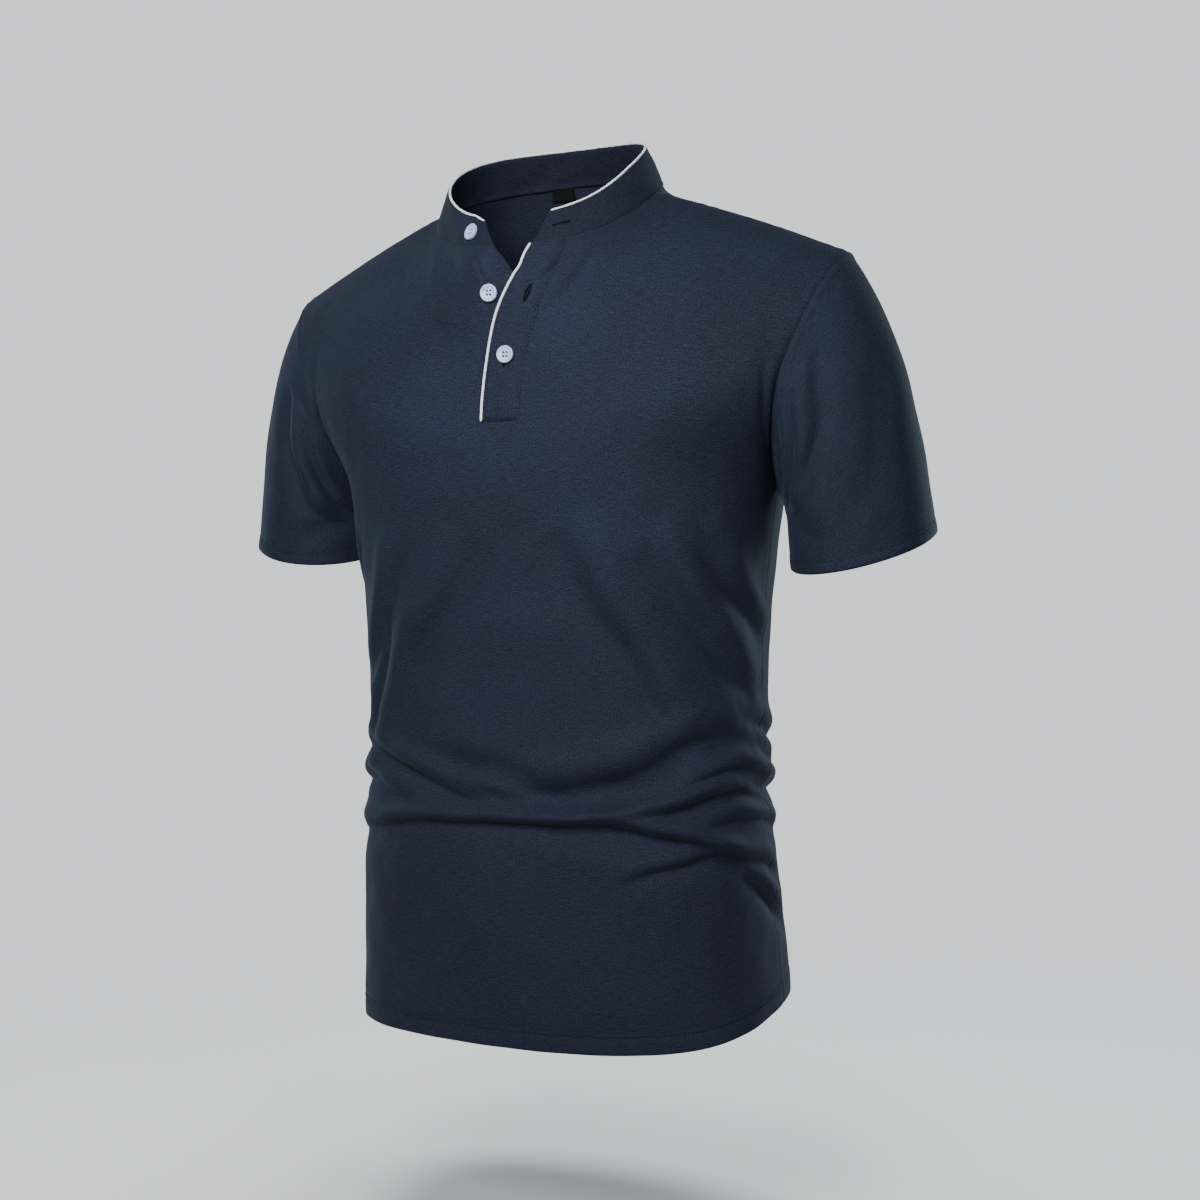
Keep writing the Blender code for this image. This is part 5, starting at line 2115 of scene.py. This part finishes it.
@dataclass
class Piping:
    """White cord along the band's top edge and the upper strip's free edge."""

    band: BandForm
    placket: PlacketForm
    wardrobe: Wardrobe
    radius: float = 0.00098
    sides: int = 12
    gap: float = 0.0002
    collar_steps: int = 420
    strip_steps: int = 150
    wobble: Ripple = Ripple(0.00012, 0.012, 14, x_share=0.08)

    def tube(self, name: str, node: str, path: Array, outward: Array) -> Piece:
        """A round cord along a path, with domed ends.

        Args:
            name: The piece's name.
            node: The node that it stands for.
            path: Its middle line.
            outward: A direction across it at each point.

        Returns:
            The cord.
        """
        along = unit(np.gradient(path, axis=0))
        sideways = unit(np.cross(along, outward))
        outward = np.cross(sideways, along)
        steps = np.arange(len(path))
        near_end = np.minimum(steps, len(path) - 1 - steps)
        size = self.radius * np.sqrt(1 - (1 - np.clip(near_end / 2, 0, 1)) ** 2 * 0.75)
        turns = np.linspace(0, FULL_TURN, self.sides, endpoint=False)
        ring = np.cos(turns)[None, :, None] * outward[:, None]
        ring = ring + np.sin(turns)[None, :, None] * sideways[:, None]
        points = (path[:, None] + size[:, None, None] * ring).reshape(-1, 3)
        gone = walked(path[:, None], 0)[:, 0]
        flat = np.stack([np.tile(turns / FULL_TURN, len(path)), np.repeat(gone, self.sides)], axis=-1)
        thing = new_mesh(name, points, tube_faces(0, self.sides, len(path)), flat)
        return declare(thing, self.wardrobe.piping, "white_piping", (node,))

    def build(self) -> list[Piece]:
        """Both cords.

        Returns:
            The pieces.
        """
        right, left = self.band.ends()
        turns = np.linspace(right, left, self.collar_steps)
        share = np.ones_like(turns)
        outward = self.band.outward(turns, share)
        top = self.band.at(turns, share)
        rise = unit(top - self.band.at(turns, share - 0.1))
        clear = self.radius + self.gap + self.wobble.height(turns, 0 * turns)
        path = top - outward * self.band.cloth / 2 + rise * clear[:, None]
        collar = self.tube("collar_cord", "piping_collar", path, outward)
        ups = np.linspace(self.placket.foot, 2.0, self.strip_steps)
        edge = np.full_like(ups, self.placket.over_right)
        lift = self.radius + 3 * self.gap
        free = self.placket.at(edge, ups, Side.LEFT, lift)
        inside = self.placket.at(edge + 0.01, ups, Side.LEFT, lift)
        path = free - unit(inside - free) * (self.radius + self.gap)
        strip = self.tube("strip_cord", "piping_placket", path, self.placket.outward(edge, ups, Side.LEFT))
        return [collar, strip]


@dataclass
class NeckLabel:
    """A bare black tab inside the back of the neck."""

    body: BodyForm
    wardrobe: Wardrobe
    across: Span = (-0.110, -0.046)
    up: Span = (1.940, 1.996)
    behind: float = 0.0024
    cloth: float = 0.0007
    curl: float = 0.0006
    curl_height: float = 0.006
    waves: Ripple = Ripple(0.0002, 0.012, 17)

    def build(self) -> Piece:
        """The tab, a little curled at its foot.

        Returns:
            The piece.
        """
        across, up = np.meshgrid(np.linspace(*self.across, 17), np.linspace(*self.up, 15))
        points = self.body.at(across, up, Half.BACK)
        inward = grid_outward(points)
        girth, height = walked(points, 1), walked(points, 0)
        curl = self.curl * (1 - ease(height, 0, self.curl_height)) + self.waves.height(girth, height)
        outer = points + inward * (self.behind + curl)[..., None]
        thickness = np.full(across.shape, self.cloth)
        piece = Wall("label_tab", outer, inward, thickness, np.stack([girth, height], axis=-1)).build()
        laid = {"held": Lay.LAID, "carrier": "back"}
        return declare(piece, self.wardrobe.tape, "black_label", ("neck_label",), (0.0185, 0.0116), **laid)


# ---------------------------------------------------------------- buttons and buttonholes


@dataclass(frozen=True)
class Seat:
    """Where something lies on the cloth, and the way it faces."""

    point: Array
    outward: Array
    rise: Array

    def matrix(self) -> Matrix:
        """Moves local points onto the seat, with their z outward and their y along rise.

        Returns:
            The matrix.
        """
        side = unit(np.cross(self.rise, self.outward))
        rise = np.cross(self.outward, side)
        columns = [Vector(side), Vector(rise), Vector(self.outward)]
        turned = Matrix([[column[k] for column in columns] for k in range(3)]).to_4x4()
        return Matrix.Translation(Vector(self.point)) @ turned


@dataclass
class ButtonRow:
    """Three four-hole buttons, each with its thread."""

    band: BandForm
    placket: PlacketForm
    wardrobe: Wardrobe
    radius: float = 0.0064
    height: float = 0.0025
    rim: float = 0.0013
    dish: float = 0.0007
    ledge: float = 0.0009
    floor_inset: float = 0.0010
    floor_drop: float = 0.00015
    rounding: float = 0.00045
    hole_radius: float = 0.00100
    hole_out: float = 0.0018
    stand: float = 0.0005
    bar_gap: float = 0.00020

    def seats(self) -> dict[str, Seat]:
        """Where each button lies.

        Returns:
            A seat for the name of each button.
        """
        up = np.array([0.0, 0.0, 1.0])
        turn, share = np.array([math.radians(-14.0)]), np.array([0.45])
        found = {"button_1": Seat(self.band.at(turn, share)[0], self.band.outward(turn, share)[0], up)}
        for name, side, across, high, lift in (
            ("button_2", Side.RIGHT, -0.010, 1.776, 0.0003),
            ("button_3", Side.LEFT, 0.011, 1.512, self.placket.lift),
        ):
            place = np.array([across]), np.array([high])
            point = self.placket.at(*place, side, lift)[0]
            found[name] = Seat(point, self.placket.outward(*place, side)[0], up)
        return found

    def disc(self) -> Piece:
        """The button at the origin, facing up: a turned disc with a raised rim and four holes.

        Returns:
            The button.
        """
        bpy.ops.object.select_all(action="DESELECT")
        middle = (0, 0, self.height / 2 + self.stand)
        bpy.ops.mesh.primitive_cylinder_add(
            vertices=64, radius=self.radius, depth=self.height, location=middle
        )
        disc = bpy.context.active_object
        bpy.ops.object.transform_apply(location=True, rotation=True, scale=True)
        bpy.ops.object.mode_set(mode="EDIT")
        bpy.ops.mesh.select_all(action="DESELECT")
        bpy.ops.mesh.select_mode(type="FACE")
        bpy.ops.object.mode_set(mode="OBJECT")
        for face in disc.data.polygons:
            face.select = face.normal.z > 0.9
        bpy.ops.object.mode_set(mode="EDIT")
        bpy.ops.mesh.inset(thickness=self.rim)
        bpy.ops.mesh.inset(thickness=self.ledge)
        bpy.ops.transform.translate(value=(0, 0, -self.dish))
        bpy.ops.mesh.inset(thickness=self.floor_inset)
        bpy.ops.transform.translate(value=(0, 0, -self.floor_drop))
        bpy.ops.object.mode_set(mode="OBJECT")
        edge = disc.modifiers.new("soft_edges", "BEVEL")
        edge.width, edge.segments, edge.angle_limit = self.rounding, 3, math.radians(28)
        bpy.ops.object.modifier_apply(modifier=edge.name)
        out = self.hole_out * math.sqrt(0.5)
        for x, y in ((out, out), (-out, out), (-out, -out), (out, -out)):
            self.drill(disc, x, y)
        bpy.ops.object.select_all(action="DESELECT")
        disc.select_set(True)
        bpy.context.view_layer.objects.active = disc
        bpy.ops.object.shade_smooth_by_angle(angle=math.radians(35))
        return disc

    def drill(self, disc: Piece, x: float, y: float) -> None:
        """Cuts one hole through the disc.

        Args:
            disc: The button.
            x: The hole's place across.
            y: The hole's place up.
        """
        bpy.ops.object.select_all(action="DESELECT")
        middle = (x, y, self.height / 2)
        bpy.ops.mesh.primitive_cylinder_add(
            vertices=20, radius=self.hole_radius, depth=4 * self.height, location=middle
        )
        pin = bpy.context.active_object
        cut = disc.modifiers.new("hole", "BOOLEAN")
        cut.operation, cut.object = "DIFFERENCE", pin
        bpy.ops.object.select_all(action="DESELECT")
        bpy.context.view_layer.objects.active = disc
        bpy.ops.object.modifier_apply(modifier=cut.name)
        bpy.data.objects.remove(pin)

    def build(self) -> list[Piece]:
        """The three buttons and the thread that holds them.

        Returns:
            The pieces.
        """
        pattern = self.disc()
        thread = ThreadWork("button_threads", radius=0.00013, rise=0.00016)
        pieces = []
        for name, seat in self.seats().items():
            mesh = pattern.data.copy()
            mesh.transform(seat.matrix())
            mesh.name = name
            piece = bpy.data.objects.new(f"{name}_resin", mesh)
            bpy.context.scene.collection.objects.link(piece)
            pieces.append(declare(piece, self.wardrobe.resin, "pearl_button", (name,)))
            self.sew(thread, seat)
        bpy.data.objects.remove(pattern)
        pieces.append(thread.build(self.wardrobe.piping))
        return pieces

    def sew(self, thread: ThreadWork, seat: Seat) -> None:
        """Two bars of thread through the holes of a button.

        Args:
            thread: What gathers the stitches.
            seat: The seat.
        """
        place = seat.matrix()
        face = self.stand + self.height - self.dish - self.floor_drop
        out = self.hole_out * math.sqrt(0.5)
        for x in (-out, out):
            for nudge in (-self.bar_gap, self.bar_gap):
                ends = [np.array(place @ Vector((x + nudge, y, face))) for y in (-out, out)]
                thread.stitch(*ends, seat.outward)


@dataclass
class Buttonholes:
    """Worked slits: one across the band's left end and two up the upper strip."""

    band: BandForm
    placket: PlacketForm
    wardrobe: Wardrobe
    half_length: float = 0.0068
    bite: float = 0.0008
    slit_height: float = 0.00012
    slit_depth: float = 0.0004
    slit_steps: int = 8
    least_open: float = 0.0003
    edge_open: float = 0.00012
    stitch_step: float = 0.00036
    off_cloth: float = 0.0002
    reach: float = 0.02

    def seats(self) -> list[tuple[Seat, float]]:
        """Where the holes lie, with the slit along each seat's rise, and how far each stands open.

        Returns:
            Each seat with how far its slit stands open.
        """
        found = []
        turn, share = np.array([math.radians(24.5) - FULL_TURN]), np.array([0.50])
        outward = self.band.outward(turn, share)[0]
        ahead, behind = (self.band.at(turn + step, share)[0] for step in (self.reach, -self.reach))
        point = self.band.at(turn, share)[0] + outward * self.off_cloth
        found.append((Seat(point, outward, unit(ahead - behind)), 0.0004))
        for across, high, open_by in ((0.019, 1.7675, 0.0013), (0.011, 1.500, 0.0004)):
            place, lift = (np.array([across]), np.array([high])), self.placket.lift
            outward = self.placket.outward(*place, Side.LEFT)[0]
            point = self.placket.at(*place, Side.LEFT, lift)[0] + outward * self.off_cloth
            above = self.placket.at(place[0], place[1] + self.reach, Side.LEFT, lift)[0]
            found.append((Seat(point, outward, unit(above - point)), open_by))
        return found

    def build(self) -> list[Piece]:
        """All the slits in one mesh of dark lenses that paint the shade inside them, and all the worked
        edges in another of close stitches.

        Returns:
            The pieces.
        """
        thread = ThreadWork("buttonhole_threads", radius=0.00017, rise=0.00016)
        slits = []
        for seat, open_by in self.seats():
            place = seat.matrix()
            slits.append(self.slit(place, open_by))
            count = int(2 * self.half_length / self.stitch_step)
            for step in range(count + 1):
                y = -self.half_length + 2 * self.half_length * step / count
                half_open = self.edge_open + open_by * math.cos(math.pi / 2 * y / self.half_length)
                for sign in (-1, 1):
                    near = np.array(place @ Vector((sign * half_open, y, 0)))
                    far = np.array(place @ Vector((sign * (half_open + self.bite), y, 0)))
                    thread.stitch(near, far, seat.outward)
        faces = []
        for order, slit in enumerate(slits):
            faces += tube_faces(order * len(slit), 2 * self.slit_steps, 2)
        points = np.concatenate(slits)
        # The slit mesh is painted shade: near-black lenses that stand for the shadow inside each open
        # buttonhole.
        dark = new_mesh("buttonhole_slit_shade", points, faces, points[:, :2])
        return [declare(dark, self.wardrobe.gap, "navy_knit"), thread.build(self.wardrobe.thread)]

    def slit(self, place: Matrix, open_by: float) -> Array:
        """The painted shade inside one buttonhole, as a thin dark lens: its upper rim and then its lower
        one.

        Args:
            place: What moves points onto the seat.
            open_by: How far its middle stands open.

        Returns:
            The lens's points.
        """
        found = []
        for z in (self.slit_height, self.slit_height - self.slit_depth):
            for sign in (1, -1):
                for share in np.linspace(-1, 1, self.slit_steps + 1)[:-1]:
                    y = sign * share * self.half_length
                    half_open = self.least_open + open_by * math.cos(math.pi / 2 * share)
                    x = -sign * half_open * math.sqrt(max(0.0, 1 - share**2))
                    found.append(np.array(place @ Vector((x, y, z))))
        return np.array(found)


# ---------------------------------------------------------------- the studio


@dataclass(frozen=True)
class LightPanel:
    """A soft panel of light. turn is in degrees from the front towards the wearer's left."""

    name: str
    turn: float
    height: float
    far: float
    size: Span
    power: float
    colour: Triple = (1.0, 1.0, 1.0)


@dataclass
class Studio:
    """A pale floor, soft light and a level camera."""

    camera_turn: float = 24.0
    camera_far: float = 1.33
    camera_height: float = -0.3098
    camera_side: float = 0.0263
    lens: float = 50.0
    floor_height: float = -0.800
    air_seen: Triple = (1.090, 1.105, 1.150)
    air_light: Triple = (0.14, 0.145, 0.155)
    # name, turn, height, distance, size, power
    panels: tuple[LightPanel, ...] = (
        LightPanel("key", 3.0, 0.50, 1.00, (0.62, 0.50), 15.5),
        LightPanel("side", 52.0, 0.30, 1.8, (0.8, 1.2), 6.0),
        LightPanel("rim_left", 150.0, 0.30, 1.5, (0.4, 1.5), 14.0, RIM_BLUE),
        LightPanel("rim_right", -108.0, 0.30, 1.5, (0.4, 1.5), 6.0, RIM_BLUE),
        LightPanel("back", 204.0, 0.45, 1.6, (0.9, 0.9), 5.0),
    )
    floor_lamp: LightPanel = LightPanel("floor_lamp", 0.0, 1.15, 0.0, (1.25, 1.25), 84.0)
    floor_radius: float = 1.4

    def light(self, panel: LightPanel) -> Piece:
        """Adds one light, turned to the middle of the shirt.

        Args:
            panel: The panel of light.

        Returns:
            The light.
        """
        data = bpy.data.lights.new(panel.name, "AREA")
        data.shape = "RECTANGLE"
        data.size, data.size_y = panel.size
        data.energy = panel.power
        data.color = panel.colour
        lamp = bpy.data.objects.new(panel.name, data)
        angle = math.radians(panel.turn)
        middle = Vector((0, 0, self.camera_height))
        place = middle + Vector((math.sin(angle) * panel.far, -math.cos(angle) * panel.far, panel.height))
        lamp.location = place
        lamp.rotation_euler = (middle - place).to_track_quat("-Z", "Y").to_euler()
        lamp.visible_camera = False
        bpy.context.scene.collection.objects.link(lamp)
        return lamp

    def world(self) -> bpy.types.World:
        """Grey air, seen paler than it lights the shirt.

        Returns:
            The world.
        """
        world = bpy.data.worlds.new("studio_air")
        world.use_nodes = True
        graph = Graph(world.node_tree)
        lit = world.node_tree.nodes["Background"]
        seen = graph.add("ShaderNodeBackground")
        graph.feed(lit, Color=(*self.air_light, 1))
        graph.feed(seen, Color=(*self.air_seen, 1))
        both = graph.add("ShaderNodeMixShader")
        ray = graph.add("ShaderNodeLightPath").outputs["Is Camera Ray"]
        for socket, source in zip(both.inputs, (ray, lit.outputs[0], seen.outputs[0])):
            graph.put(socket, source)
        graph.feed(world.node_tree.nodes["World Output"], Surface=both.outputs[0])
        return world

    def build(self) -> None:
        """Floor, air, lights and camera."""
        bpy.ops.object.select_all(action="DESELECT")
        middle, radius = (0, 0, self.floor_height), self.floor_radius
        bpy.ops.mesh.primitive_circle_add(vertices=96, radius=radius, fill_type="NGON", location=middle)
        floor = bpy.context.active_object
        floor.name = "studio_floor"
        bpy.ops.object.transform_apply(location=True, rotation=True, scale=True)
        floor.data.materials.append(FloorFinish().material())
        bpy.context.scene.world = self.world()
        for panel in self.panels:
            self.light(panel)
        lit = bpy.data.collections.new("floor_only")
        lit.objects.link(floor)
        self.light(self.floor_lamp).light_linking.receiver_collection = lit
        floor.visible_diffuse = False
        turn = math.radians(self.camera_turn)
        right = Vector((math.cos(turn), math.sin(turn), 0))
        back = Vector((math.sin(turn), -math.cos(turn), 0))
        data = bpy.data.cameras.new("camera")
        data.lens, data.sensor_width = self.lens, 36.0
        camera = bpy.data.objects.new("camera", data)
        height = Vector((0, 0, self.camera_height))
        camera.location = right * self.camera_side + back * self.camera_far + height
        camera.rotation_euler = (math.radians(90), 0, turn)
        bpy.context.scene.collection.objects.link(camera)
        bpy.context.scene.camera = camera


# ---------------------------------------------------------------- putting it together


@dataclass
class Shirt:
    """The whole shirt."""

    wardrobe: Wardrobe = field(default_factory=Wardrobe)
    body: BodyForm = field(default_factory=BodyForm)

    def build(self) -> None:
        """Builds every piece in order."""
        placket = PlacketForm(self.body)
        band = BandForm(self.body, placket)
        panels = BodyPanels(self.body, placket)
        sleeves = Sleeves(self.body, panels)
        front, back = panels.panel(Half.FRONT), panels.panel(Half.BACK)
        arms = {side: sleeves.panel(side) for side in Side}
        agree_at_seams([front, back, *arms.values()])
        panels.sew(front, 40)
        panels.sew(back, 50)
        for seed, wall in zip((60, 70), arms.values()):
            sleeves.sew(wall, seed)
        self.stitch_hems(panels.hem, [front, back])
        self.stitch_cuffs(sleeves.hem, list(arms.values()))
        knit = self.wardrobe.body
        declare(front.build(), knit, "navy_knit", ("front",), (0.475, 0.69), 0.296)
        declare(back.build(), knit, "navy_knit", ("back",), (0.485, 0.715), 0.309)
        sleeve_cuts = {Side.LEFT: ((0.40, 0.22), 0.0536), Side.RIGHT: ((0.40, 0.21), 0.0492)}
        for side, wall in arms.items():
            node = f"sleeve_{side.name.lower()}"
            declare(wall.build(), knit, "navy_knit", (node,), *sleeve_cuts[side])
        CollarBand(band, self.wardrobe).build()
        Placket(placket, self.wardrobe, panels.rows_above()).build()
        Piping(band, placket, self.wardrobe).build()
        NeckLabel(self.body, self.wardrobe).build()
        ButtonRow(band, placket, self.wardrobe).build()
        Buttonholes(band, placket, self.wardrobe).build()

    def stitch_hems(self, hem: TurnedHem, walls: list[Wall]) -> None:
        """Two rows of stitches round the turned hem of the body.

        Args:
            hem: The turned hem.
            walls: The walls.
        """
        thread = ThreadWork("hem_stitches")
        for wall in walls:
            for level in hem.rows():
                thread.row(*grid_line(wall, walked(wall.points, 0), level))
        thread.build(self.wardrobe.thread)

    def stitch_cuffs(self, hem: TurnedHem, walls: list[Wall]) -> None:
        """Two rows of stitches round the turned hem of each sleeve.

        Args:
            hem: The turned hem.
            walls: The walls.
        """
        for wall in walls:
            thread = ThreadWork(f"{wall.name}_stitches")
            down = walked(wall.points, 0)
            for level in hem.rows():
                thread.row(*grid_line(wall, down[-1:] - down, level), is_closed=True)
            thread.build(self.wardrobe.thread)


def main() -> None:
    """Builds the shirt and the studio, and reports each piece."""
    logging.basicConfig(level=logging.INFO, format="%(name)s: %(message)s")
    Shirt().build()
    Studio().build()


if __name__ == "__main__":
    main()
